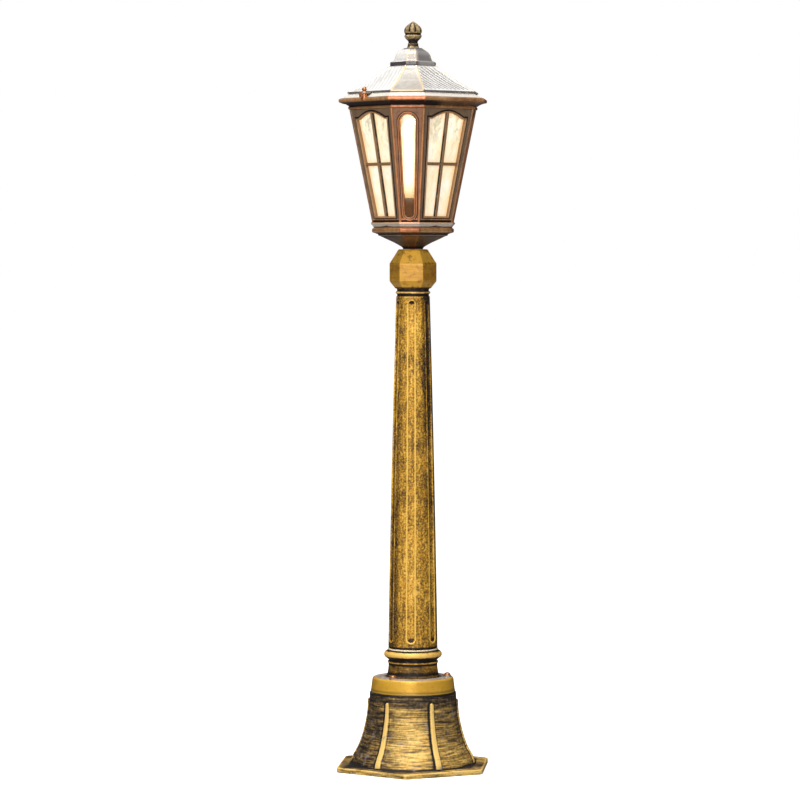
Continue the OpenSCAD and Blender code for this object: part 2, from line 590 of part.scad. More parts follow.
roof_out = [[0, 102.8, 26.6], [2, 102.8, 26.6], [2.9, 100.6, 26], [7.6, 91.2, 23.6], [16.8, 74.8, 19.2], [23.9, 63.8, 16.2],
            [30.4, 54.2, 13.6], [36.4, 46.4, 11.3], [40.6, 40.4, 9.5], [44, 37.6, 8.8]];
roof_in = [[-1, 98.8, 25.6], [0.6, 98.2, 25.4], [5, 89.2, 23], [14.2, 72.6, 18.5], [21.3, 61.4, 15.4],
           [27.8, 51.8, 12.9], [33.9, 43.8, 10.6], [38, 37.4, 8.8], [40.6, 35, 8.2]];
function lift(lv, z) = [for (l = lv) [l[0] + z, l[1], l[2]]];

// Ear for the thumb screw, with a turned-down lip at its end
module roof_lug() {
    at(-45, 0) union() {
        translate([-7, -94.4, z_roof]) cube([14, 5.4, 2]);
        translate([-7, -latch_d, z_roof - 2]) cube([14, latch_d - 92.5, 2]);
        translate([-7, -94.4, z_roof - 2]) cube([14, 1.9, 4]);
        translate([0, -latch_d, z_roof - 2]) cylinder(h = 2, r = 7);
        translate([-3.4, -latch_d - 8.3, z_roof - 7.6]) cube([6.8, 2.6, 7.6]);
        translate([-3.4, -latch_d - 8.3, z_roof - 2]) cube([6.8, 6, 2]);
    }
}
// Middle knuckle of the hinge and its arm
module roof_knuckle() {
    rotate([0, 0, 135]) union() {
        translate([-8.9, -hinge_d, hinge_z]) rotate([0, 90, 0]) cylinder(h = 17.8, r = knuckle_r);
        translate([-8.9, -hinge_d, hinge_z - 3.2]) cube([17.8, 10.4, 2.4]);
    }
}
module roof_lower() {
    color(bronze) difference() {
        union() {
            difference() {
                oct_loft(lift(roof_out, z_roof));
                oct_loft(lift(roof_in, z_roof));
            }
            roof_lug();
            roof_knuckle();
        }
        translate([0, 0, z_tier - 10]) cylinder(h = 20, r = 20);
        for (s = [-1, 1]) translate([0, s * 30.6, z_tier - 6]) cylinder(h = 10, r = 1.8, $fn = 32);
        at(-45, latch_d, z_roof - 9) cylinder(h = 20, r = 2.45);
        rotate([0, 0, 135]) translate([-30, -hinge_d, hinge_z]) rotate([0, 90, 0]) cylinder(h = 60, r = pin_r + 0.04);
    }
}

module roof_upper() {
    z = z_tier;
    color(bronze) difference() {
        oct_loft([[z, 35.2, 8.5], [z + 0.8, 36.2, 8.8], [z + 6.6, 36, 8.8], [z + 7.6, 34, 8.3], [z + 8.8, 30.8, 7.6], [z + 12.4, 28.8, 7.1], [z + 18.4, 27, 6.6],
                  [z + 23.4, 23.6, 5.8], [z + 27, 18.2, 4.5], [z + 29.5, 14, 3.5]]);
        oct_loft([[z - 1, 26.4, 6.5], [z + 12, 25.6, 6.3], [z + 18, 23.6, 5.8], [z + 22.4, 19.6, 4.9], [z + 24, 15, 3.8]]);
        translate([0, 0, z + 20]) cylinder(h = 12, r = 3.3, $fn = 32);
        for (s = [-1, 1]) translate([0, s * 30.6, z - 1]) cylinder(h = 6, r = 1.6, $fn = 32);
    }
}
module roof_screws() {
    color(steel) for (s = [-1, 1]) translate([0, s * 30.6, z_tier - 5.5]) union() {
        cylinder(h = 10, r = 1.55, $fn = 32);
        cylinder(h = 2, r = 2.7, $fn = 32);
    }
}

module finial() {
    z = z_fin;
    color(gold) difference() {
        rotate_extrude() polygon(concat([[0, z], [9.6, z], [9.8, z + 1.2], [8.9, z + 3], [8.4, z + 5.5], [8.6, z + 6.6], [7.6, z + 8], [7.3, z + 9.6],
            [8.1, z + 11.4], [10.1, z + 13.2], [12, z + 15.2], [13.2, z + 17.2], [14, z + 19], [14, z + 20.2], [13, z + 20.8], [12.6, z + 22],
            [12.8, z + 23], [13.8, z + 24], [14.2, z + 26.2], [14.1, z + 29], [13.3, z + 31.6], [11.6, z + 34], [9, z + 36.6], [5.9, z + 39], [3, z + 41], [1.2, z + 42.2], [0, z + 42.5]]));
        translate([0, 0, z - 1]) cylinder(h = 15, r = 3);
    }
}
module finial_stud() { color(steel) translate([0, 0, z_fin - 17]) cylinder(h = 30, r = 2.95); }
module finial_nut() { color(brass) translate([0, 0, z_fin - 10.6]) hexnut(10, 5, 3); }

// ---------- thumb screw ----------

module latch_washer() { color([0.9, 0.88, 0.8]) at(-45, latch_d, z_roof + 0.1) ring(3.6, 2.1, 0.7); }
module latch_screw() {
    color(copper) at(-45, latch_d, z_roof + 0.85) rotate_extrude() polygon(concat([[0, -8.2], [1.6, -8.2], [2, -7.6], [2, 0], [3, 0], [3, 0.7], [2.3, 1]],
        [for (t = [-52:13.2:80]) [3.9 * cos(t), 4.2 + 3.9 * sin(t)]], [[0, 8.1]]));
}

// ---------- bulb ----------

module bulb_tip() { color(steel) translate([0, 0, holder_z + 21.2]) rotate_extrude() polygon([[0, 0], [2.4, 0.2], [3.8, 1], [4.6, 2.1], [0, 2.1]]); }
module bulb_insulator() { color([0.1, 0.1, 0.12]) translate([0, 0, holder_z + 23.4]) rotate_extrude() polygon([[0, 0], [5, 0], [8, 1.6], [11, 3.2], [0, 3.2]]); }
module bulb_cap() {
    color(steel) translate([0, 0, holder_z + 26.6]) rotate_extrude() polygon(concat([[0, 0], [11, 0], [12.3, 0.8]],
        [for (i = [0:11]) [i % 2 == 0 ? 13.2 : 12.4, 1.9 + i * 1.1]], [[12.8, 15.2], [13, 17.4], [0, 17.4]]));
}
bulb_prof = smooth([[0, 12.6], [3, 12.8], [8, 14], [15, 17.6], [22, bulb_r - 1], [30, bulb_r], [45, bulb_r], [bulb_glass_h - 24, bulb_r],
    [bulb_glass_h - 14, bulb_r - 1.6], [bulb_glass_h - 6, bulb_r * 0.66], [bulb_glass_h - 1.5, bulb_r * 0.32]], 2);
module bulb_glass() {
    color([1, 0.93, 0.75, 0.6]) translate([0, 0, glass_z]) difference() {
        rotate_extrude() polygon(concat([[0, 0]], rz(bulb_prof), [[0, bulb_glass_h]]));
        rotate_extrude() polygon(concat([[0, 3]], rz([for (q = grow(bulb_prof, -1)) if (q[0] >= 3 && q[0] < bulb_glass_h - 2) q]), [[0, bulb_glass_h - 1.6]]));
    }
}
module bulb_stem() {
    color([0.9, 0.9, 0.9, 0.5]) translate([0, 0, glass_z + 3]) rotate_extrude()
        polygon([[0, 0], [8, 0], [5, 6], [3.2, 14], [2.6, 36], [3.4, 40], [2, 42], [0, 42]]);
}
module bulb_filaments() {
    color([1, 0.8, 0.4]) for (k = [0:3]) rotate([0, 0, 90 * k + 20]) translate([0, -8, glass_z + 28]) cylinder(h = 62, r = 0.9, $fn = 16);
}

base_plinth();
base_cap();
cap_bolts();
cap_washers();
column_foot();
column_shaft();
neck_ring();
capital();
centre_tube();
tube_nut_lower();
tube_washer_lower();
tube_nut_upper();
tube_washer_upper();
terminal_block();
terminal_screws();
block_screws();
earth_screw();
inner_lead();
lantern_bowl();
lower_rail();
rail_screws();
narrow_frames();
wide_frames();
narrow_glass();
wide_glass();
glass_clips();
clip_screws();
cornice();
panel_dowels();
roof_gasket();
latch_boss();
hinge_bracket();
hinge_screws();
hinge_pin();
holder_cup();
holder_insert();
holder_skirt();
holder_shell();
holder_contact();
roof_lower();
roof_upper();
roof_screws();
finial();
finial_stud();
finial_nut();
latch_washer();
latch_screw();
bulb_tip();
bulb_glass();
bulb_cap();
bulb_insulator();
bulb_stem();
bulb_filaments();
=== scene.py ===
import math

import bpy
import numpy as np
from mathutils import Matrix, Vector
from mathutils.geometry import tessellate_polygon


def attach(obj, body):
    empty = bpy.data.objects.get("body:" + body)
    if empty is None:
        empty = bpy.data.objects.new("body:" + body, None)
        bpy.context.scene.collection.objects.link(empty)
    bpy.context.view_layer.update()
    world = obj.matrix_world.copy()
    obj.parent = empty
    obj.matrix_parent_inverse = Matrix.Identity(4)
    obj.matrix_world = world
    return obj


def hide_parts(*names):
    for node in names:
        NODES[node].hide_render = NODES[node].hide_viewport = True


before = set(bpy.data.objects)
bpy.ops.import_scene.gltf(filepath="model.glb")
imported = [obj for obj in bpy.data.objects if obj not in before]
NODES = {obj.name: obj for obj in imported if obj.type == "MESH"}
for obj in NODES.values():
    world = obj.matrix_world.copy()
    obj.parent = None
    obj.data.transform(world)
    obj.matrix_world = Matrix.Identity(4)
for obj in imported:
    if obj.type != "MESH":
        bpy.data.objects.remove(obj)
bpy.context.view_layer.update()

MM = 0.001
RAD = math.pi / 180

# ---------------------------------------------------------------- heights, as in the construction
Z_PLINTH, Z_CAP, Z_FOOT, Z_SHAFT, Z_NECK = 124.0, 148.5, 196.0, 760.5, 773.0
Z_BOWL, Z_RIM, Z_PANEL, Z_REF, Z_HEAD = 836.0, 870.0, 884.0, 888.0, 1058.5
Z_SEAT, Z_ROOF, Z_TIER, Z_FIN = 1083.4, 1084.0, 1128.0, 1157.5
DN0, DN1, WN0, WN1 = 64.8, 98.3, 15.4, 26.0
DN_K = (DN1 - DN0) / (Z_HEAD - Z_REF)
WN_K = (WN1 - WN0) / (Z_HEAD - Z_REF)
LEAN_N = math.atan(DN_K)
LEAN_W = math.atan((DN_K + WN_K) / math.sqrt(2))


def dn_at(z):
    return DN0 + (z - Z_REF) * DN_K


def wn_at(z):
    return WN0 + (z - Z_REF) * WN_K


# ================================================================ node materials
class Tree:
    """Short calls for a material's nodes."""

    def __init__(self, name):
        self.mat = bpy.data.materials.new(name)
        self.mat.use_nodes = True
        self.nt = self.mat.node_tree
        self.bsdf = self.nt.nodes["Principled BSDF"]
        self.out = self.nt.nodes["Material Output"]
        self.pos = self.nt.nodes.new("ShaderNodeTexCoord").outputs["Object"]

    def node(self, kind, **props):
        n = self.nt.nodes.new(kind)
        for k, v in props.items():
            setattr(n, k, v)
        return n

    def put(self, socket, value):
        if isinstance(value, bpy.types.NodeSocket):
            self.nt.links.new(value, socket)
        elif value is not None:
            socket.default_value = value

    def math(self, op, a, b=None, clamp=False):
        n = self.node("ShaderNodeMath", operation=op, use_clamp=clamp)
        self.put(n.inputs[0], a)
        if b is not None:
            self.put(n.inputs[1], b)
        return n.outputs[0]

    def add(self, a, b, clamp=False):
        return self.math("ADD", a, b, clamp)

    def mul(self, a, b):
        return self.math("MULTIPLY", a, b)

    def span(self, v, a, b, c, d, smooth=True):
        n = self.node("ShaderNodeMapRange", interpolation_type="SMOOTHSTEP" if smooth else "LINEAR")
        self.put(n.inputs["Value"], v)
        for k, x in zip(("From Min", "From Max", "To Min", "To Max"), (a, b, c, d)):
            n.inputs[k].default_value = x
        return n.outputs["Result"]

    def coords(self, scale=(1, 1, 1), loc=(0, 0, 0), rot=(0, 0, 0)):
        n = self.node("ShaderNodeMapping")
        self.put(n.inputs["Vector"], self.pos)
        n.inputs["Scale"].default_value = scale
        n.inputs["Location"].default_value = loc
        n.inputs["Rotation"].default_value = rot
        return n.outputs["Vector"]

    def noise(self, vec, scale, detail=3.0, rough=0.55, distort=0.0):
        n = self.node("ShaderNodeTexNoise")
        self.put(n.inputs["Vector"], vec)
        n.inputs["Scale"].default_value = scale
        n.inputs["Detail"].default_value = detail
        n.inputs["Roughness"].default_value = rough
        n.inputs["Distortion"].default_value = distort
        return n.outputs["Fac"]

    def voronoi(self, vec, scale, feature="F1"):
        n = self.node("ShaderNodeTexVoronoi", feature=feature)
        self.put(n.inputs["Vector"], vec)
        n.inputs["Scale"].default_value = scale
        return n.outputs["Distance"]

    def attr(self, name):
        n = self.node("ShaderNodeAttribute", attribute_name=name, attribute_type="GEOMETRY")
        return n.outputs["Fac"]

    def ramp(self, fac, stops, mode="LINEAR"):
        n = self.node("ShaderNodeValToRGB")
        n.color_ramp.interpolation = mode
        e = n.color_ramp.elements
        while len(e) < len(stops):
            e.new(0.5)
        for i, (p, c) in enumerate(stops):
            e[i].position = p
            e[i].color = (*c, 1)
        self.put(n.inputs["Fac"], fac)
        return n.outputs["Color"]

    def mix(self, fac, a, b, blend="MIX"):
        n = self.node("ShaderNodeMix", data_type="RGBA", blend_type=blend)
        self.put(n.inputs["Factor"], fac)
        self.put(n.inputs[6], a if isinstance(a, bpy.types.NodeSocket) else (*a, 1))
        self.put(n.inputs[7], b if isinstance(b, bpy.types.NodeSocket) else (*b, 1))
        return n.outputs[2]

    def bump(self, height, distance, strength=1.0, normal=None):
        n = self.node("ShaderNodeBump")
        n.inputs["Distance"].default_value = distance
        n.inputs["Strength"].default_value = strength
        self.put(n.inputs["Height"], height)
        if normal is not None:
            self.put(n.inputs["Normal"], normal)
        return n.outputs["Normal"]

    def finish(self, color, rough, normal=None, metallic=0.0, **consts):
        b = self.bsdf
        self.put(b.inputs["Base Color"], color if isinstance(color, bpy.types.NodeSocket) else (*color, 1))
        self.put(b.inputs["Roughness"], rough)
        self.put(b.inputs["Metallic"], metallic)
        if normal is not None:
            self.put(b.inputs["Normal"], normal)
        for k, v in consts.items():
            b.inputs[k.replace("_", " ")].default_value = v
        return self.mat


def antique_gold(name, stroke=(90, 90, 620), stroke_rot=(0, 0, 0), mottle=150.0, bias=0.0, stroke_amt=0.55, mottle_amt=0.35, metallic=0.12,
                 deep=(0.012, 0.008, 0.006), low=(0.055, 0.030, 0.010), mid=(0.26, 0.135, 0.020), high=(0.66, 0.345, 0.040), hot=(0.90, 0.57, 0.13),
                 stain=(0.15, 0.10, 0.075), stain_amt=0.30):
    """Dark casting dry-brushed with gold: the gold takes on edges and stays out of hollows. The edge and dark channels
    also carry painted highlights and painted shade, and the third channel, above 1, turns the gold into a pale cream
    painted highlight.
    """
    t = Tree(name)
    wear, dark, cover = t.attr("wear"), t.attr("dark"), t.attr("cover")
    s = t.noise(t.coords(stroke, rot=stroke_rot), 1.0, 3.0, 0.6, 0.35)
    s2 = t.noise(t.coords(tuple(0.45 * x for x in stroke), loc=(3.1, 1.7, 0.4)), 1.0, 2.0, 0.5, 0.6)
    m = t.noise(t.pos, mottle, 4.0, 0.62, 0.2)
    wide = t.noise(t.pos, 17.0, 2.0, 0.5)
    g = t.mul(t.add(s, -0.5), stroke_amt * 2.2)
    g = t.add(g, t.mul(t.add(s2, -0.5), stroke_amt * 1.3))
    g = t.add(g, t.mul(t.add(m, -0.5), mottle_amt * 2.6))
    g = t.add(g, t.mul(t.add(wide, -0.5), 0.7))
    g = t.add(g, 0.60 + bias)
    g = t.add(g, t.mul(t.math("MINIMUM", cover, 1.0), 0.30))
    g = t.add(g, t.mul(wear, 0.60))
    g = t.add(g, t.mul(dark, -1.25), clamp=True)
    col = t.ramp(g, [(0.0, deep), (0.22, low), (0.50, mid), (0.78, high), (1.0, hot)])
    hue = t.noise(t.pos, 34.0, 2.0, 0.5)
    col = t.mix(t.span(hue, 0.52, 0.72, 0.0, 0.35), col, t.mix(1.0, col, (1.0, 0.84, 0.62), "MULTIPLY"))
    rust = t.noise(t.coords(loc=(5.0, 2.0, 1.0)), 60.0, 3.0, 0.6)
    col = t.mix(t.span(rust, 0.58, 0.74, 0.0, stain_amt), col, stain)
    # above 1 the third channel turns the gold pale cream: a painted highlight on the rings where it is set
    col = t.mix(t.span(cover, 1.0, 1.3, 0.0, 0.9), col, (0.86, 0.80, 0.68))
    rough = t.span(g, 0.0, 1.0, 0.60, 0.47, smooth=False)
    h = t.add(t.mul(s, 0.6), t.mul(m, 0.7))
    n = t.bump(h, 0.0007, 0.55)
    return t.finish(col, rough, n, metallic, Specular_IOR_Level=0.32)


def satin_gold(name, base=(0.78, 0.42, 0.036), pale=(0.88, 0.53, 0.085), deep=(0.50, 0.235, 0.022), metallic=0.25, rough=0.36, blotch=0.35):
    """Plain satin gold paint over a cast surface: paler on edges and where a painted highlight is set, brown in the
    seams, lilac grey where the third channel is set.
    """
    t = Tree(name)
    wear, dark, cover = t.attr("wear"), t.attr("dark"), t.attr("cover")
    a = t.noise(t.coords((30, 30, 260)), 1.0, 3.0, 0.55, 0.3)
    b = t.noise(t.pos, 22.0, 2.0, 0.5)
    c = t.noise(t.pos, 130.0, 4.0, 0.65)
    fine = t.noise(t.pos, 420.0, 2.0, 0.5)
    col = t.mix(t.span(a, 0.40, 0.70, 0.0, 0.40), base, pale)
    col = t.mix(t.span(b, 0.45, 0.70, 0.0, 0.45), col, deep)
    col = t.mix(t.mul(wear, 0.6), col, pale)
    col = t.mix(t.span(c, 0.50, 0.66, 0.0, blotch), col, deep)
    col = t.mix(t.math("MINIMUM", cover, 1.0), col, t.mix(t.span(c, 0.42, 0.60, 0.0, 1.0), (0.66, 0.58, 0.54), (0.40, 0.33, 0.30)))
    col = t.mix(t.math("MINIMUM", t.mul(dark, 1.1), 1.0), col, (0.045, 0.020, 0.007))
    r = t.span(fine, 0.3, 0.7, rough - 0.05, rough + 0.09)
    n = t.bump(t.add(t.mul(fine, 0.5), t.mul(a, 0.5)), 0.0003, 0.4)
    return t.finish(col, r, n, metallic, Specular_IOR_Level=0.4)


def bronze(name, deep=(0.010, 0.005, 0.004), base=(0.045, 0.021, 0.011), mid=(0.12, 0.052, 0.022), edge=(0.46, 0.19, 0.058), hot=(0.74, 0.40, 0.15),
           bias=0.0, metallic=0.28, pale=(0.74, 0.72, 0.69), narrow_tint_and_shade=(1.24, 0.84, 0.70)):
    """Dark bronze casting with copper rubbed through on its edges and beads, the edge channel also carrying painted
    light, and a pale silver painted reflection where the third channel is set.
    """
    t = Tree(name)
    wear, dark, cover = t.attr("wear"), t.attr("dark"), t.attr("cover")
    s = t.noise(t.coords((120, 120, 60)), 1.0, 3.0, 0.6, 0.4)
    m = t.noise(t.pos, 260.0, 3.0, 0.6)
    wide = t.noise(t.pos, 26.0, 2.0, 0.5)
    g = t.add(t.mul(t.add(s, -0.5), 0.55), t.mul(t.add(m, -0.5), 0.35))
    g = t.add(g, t.mul(t.add(wide, -0.5), 0.35))
    g = t.add(g, 0.30 + bias)
    g = t.add(g, t.mul(wear, 0.55))
    g = t.add(g, t.mul(dark, -0.9), clamp=True)
    col = t.ramp(g, [(0.0, deep), (0.2, base), (0.42, mid), (0.72, edge), (1.0, hot)])
    # the four narrow sides are tinted redder and darker than the wide ones: partly a colour of their own, partly
    # painted shade for the light that falls differently on them
    xyz = t.node("ShaderNodeSeparateXYZ")
    t.put(xyz.inputs[0], t.pos)
    ax, ay = t.math("ABSOLUTE", xyz.outputs["X"]), t.math("ABSOLUTE", xyz.outputs["Y"])
    q = t.math("DIVIDE", t.math("MINIMUM", ax, ay), t.add(t.math("MAXIMUM", ax, ay), 0.0001))
    narrow = t.span(q, 0.25, 0.29, 1.0, 0.0)
    col = t.mix(t.mul(narrow, 0.85), col, t.mix(1.0, col, narrow_tint_and_shade, "MULTIPLY"))
    # pale silver: a painted reflection of the bright surround, laid on the faces where it is set
    painted_reflection = t.mix(t.span(m, 0.35, 0.65, 0.0, 0.5), pale, tuple(0.72 * x for x in pale))
    col = t.mix(t.math("MINIMUM", cover, 1.0), col, painted_reflection)
    rough = t.span(g, 0.0, 1.0, 0.50, 0.36, smooth=False)
    n = t.bump(t.add(t.mul(s, 0.4), t.mul(m, 0.7)), 0.0004, 0.5)
    return t.finish(col, rough, n, metallic)


def roof_metal(name):
    """Bronze painted pale silver as a painted reflection of the bright surround: cream and gold on the ridges, brown in
    the grooves of the slating, the narrow faces and some places darkened as painted shade.
    """
    t = Tree(name)
    wear, dark, cover = t.attr("wear"), t.attr("dark"), t.attr("cover")
    m = t.noise(t.pos, 190.0, 3.0, 0.6, 0.3)
    wide = t.noise(t.pos, 30.0, 2.0, 0.5)
    run = t.noise(t.coords((60, 60, 14)), 1.0, 2.0, 0.5)
    # the pale silver base is a painted reflection of the bright surround
    col = t.ramp(t.add(t.mul(wide, 0.6), t.mul(m, 0.4)), [(0.30, (0.62, 0.60, 0.575)), (0.48, (0.78, 0.77, 0.75)), (0.70, (0.90, 0.895, 0.885))])
    col = t.mix(t.span(run, 0.52, 0.72, 0.0, 0.30), col, (0.56, 0.48, 0.38))
    groove = t.math("MINIMUM", t.mul(dark, t.span(m, 0.3, 0.7, 0.6, 1.1)), 1.0)
    col = t.mix(groove, col, (0.078, 0.050, 0.034))
    xyz = t.node("ShaderNodeSeparateXYZ")
    t.put(xyz.inputs[0], t.pos)
    ax, ay = t.math("ABSOLUTE", xyz.outputs["X"]), t.math("ABSOLUTE", xyz.outputs["Y"])
    q = t.math("DIVIDE", t.math("MINIMUM", ax, ay), t.add(t.math("MAXIMUM", ax, ay), 0.0001))
    # the narrow faces are darkened: painted shade
    col = t.mix(t.span(q, 0.24, 0.27, 1.0, 0.0), col, t.mix(1.0, col, (0.54, 0.505, 0.46), "MULTIPLY"))
    col = t.mix(t.math("MINIMUM", t.mul(wear, 1.0), 1.0), col, (0.78, 0.57, 0.29))
    # near-black where the third channel is set: painted shade inside the roof, under its rim and on the upper tier's
    # eave band and right faces
    col = t.mix(t.math("MINIMUM", cover, 1.0), col, (0.045, 0.033, 0.038))
    rough = t.span(m, 0.3, 0.7, 0.32, 0.46)
    n = t.bump(m, 0.0004, 0.5)
    return t.finish(col, rough, n, 0.2, Coat_Weight=0.15, Coat_Roughness=0.25)


def plain_metal(name, col_a, col_b, rough=0.32, metallic=0.9, scale=300.0, streak=(1, 1, 1)):
    t = Tree(name)
    a = t.noise(t.coords(streak), scale, 3.0, 0.6)
    b = t.noise(t.pos, 60.0, 2.0, 0.5)
    col = t.mix(t.span(t.add(t.mul(a, 0.5), t.mul(b, 0.5)), 0.35, 0.65, 0.0, 1.0), col_a, col_b)
    r = t.span(a, 0.3, 0.7, rough - 0.07, rough + 0.1)
    return t.finish(col, r, t.bump(a, 0.00015, 0.4), metallic)


def moulded(name, col_a, col_b, rough=0.35, scale=220.0, bump=0.0001, **consts):
    t = Tree(name)
    a = t.noise(t.pos, scale, 3.0, 0.6)
    col = t.mix(t.span(a, 0.3, 0.7, 0.0, 1.0), col_a, col_b)
    r = t.span(a, 0.3, 0.7, rough - 0.05, rough + 0.08)
    return t.finish(col, r, t.bump(a, bump, 0.4), 0.0, **consts)


def pane_glass(name, see, glow, cream=(1.0, 0.87, 0.62), white=(1.0, 0.97, 0.90), shade=(0.55, 0.56, 0.44),
               rim_glow_col=(1.0, 0.62, 0.26), foot_z=(0.5, 0.6)):
    """Seeded water glass lit from inside, its glow painted on as emission: part lets the inside show, part glows,
    mottled grey-green more towards the top, paler at the seeds.
    """
    t = Tree(name)
    sep = t.node("ShaderNodeSeparateXYZ")
    t.put(sep.inputs[0], t.pos)
    z = sep.outputs["Z"]
    blot = t.noise(t.coords((1, 1, 0.7)), 62.0, 4.0, 0.62, 1.2)
    fine = t.noise(t.coords((1, 1, 0.5)), 190.0, 2.0, 0.5, 0.8)
    seeds = t.voronoi(t.pos, 150.0)
    ripple = t.noise(t.coords((1, 1, 0.35)), 85.0, 3.0, 0.55, 1.8)
    high = t.span(z, 0.975, 1.045, 0.0, 1.0)
    mott = t.math("MINIMUM", t.mul(t.span(t.add(t.mul(blot, 0.7), t.mul(fine, 0.3)), 0.44, 0.64, 0.0, 1.0), t.add(t.mul(high, 0.65), 0.25)), 1.0)
    broad = t.noise(t.coords((1, 1, 0.6), loc=(0.3, 0.1, 0.7)), 24.0, 2.0, 0.5, 0.6)
    patch = t.add(t.mul(t.span(ripple, 0.36, 0.64, 0.0, 1.0), 0.5), t.mul(t.span(broad, 0.38, 0.60, 0.0, 1.0), 0.6), clamp=True)
    col = t.mix(patch, cream, white)
    col = t.mix(mott, col, shade)
    bub = t.span(seeds, 0.0, 0.22, 0.75, 0.0)
    col = t.mix(t.mul(bub, 0.4), col, (1, 1, 0.97))
    # painted glow: orange along the pane's edges next to the frame
    rim = t.attr("wear")
    col = t.mix(t.mul(t.math("MINIMUM", rim, 1.0), 0.85), col, rim_glow_col)
    # dark brown and less glow at the foot of the narrow panes: painted shade where the lamp holder stands behind the
    # glass
    foot = t.span(z, foot_z[0], foot_z[1], 1.0, 0.0)
    col = t.mix(foot, col, (0.20, 0.085, 0.030))
    n = t.bump(t.add(t.mul(ripple, 0.8), t.mul(bub, 0.35)), 0.0012, 0.8)
    b = t.bsdf
    t.finish(t.mix(1.0, col, (0.55, 0.55, 0.55), "MULTIPLY"), 0.16, n, 0.0)
    b.inputs["IOR"].default_value = 1.45
    # the glass glows by emission: painted light standing in for the bulb's light, stronger where the third channel is
    # set
    t.put(b.inputs["Emission Color"], col)
    strength = t.mul(t.add(t.mul(t.attr("cover"), 1.1), 1.0), t.span(z, foot_z[0], foot_z[1], 0.35 * glow, glow))
    t.put(b.inputs["Emission Strength"], strength)
    tr = t.node("ShaderNodeBsdfTransparent")
    tr.inputs["Color"].default_value = (1.0, 0.95, 0.85, 1)
    mix = t.node("ShaderNodeMixShader")
    fac = t.math("MULTIPLY", t.span(ripple, 0.35, 0.65, 0.7, 1.0), see, clamp=True)
    t.put(mix.inputs[0], fac)
    t.nt.links.new(b.outputs[0], mix.inputs[1])
    t.nt.links.new(tr.outputs[0], mix.inputs[2])
    t.nt.links.new(mix.outputs[0], t.out.inputs["Surface"])
    return t.mat


def lit_bulb(name):
    t = Tree(name)
    sep = t.node("ShaderNodeSeparateXYZ")
    t.put(sep.inputs[0], t.pos)
    a = t.noise(t.pos, 40.0, 2.0, 0.5)
    low = t.span(sep.outputs["Z"], 0.918, 0.945, 0.0, 1.0)
    col = t.mix(low, (1.0, 0.62, 0.24), (1.0, 0.95, 0.84))
    col = t.mix(t.span(a, 0.4, 0.6, 0.0, 0.15), col, (1.0, 0.86, 0.62))
    t.finish((0.95, 0.92, 0.85), 0.25, None, 0.0)
    t.put(t.bsdf.inputs["Emission Color"], col)
    t.bsdf.inputs["Emission Strength"].default_value = 5.0
    return t.mat


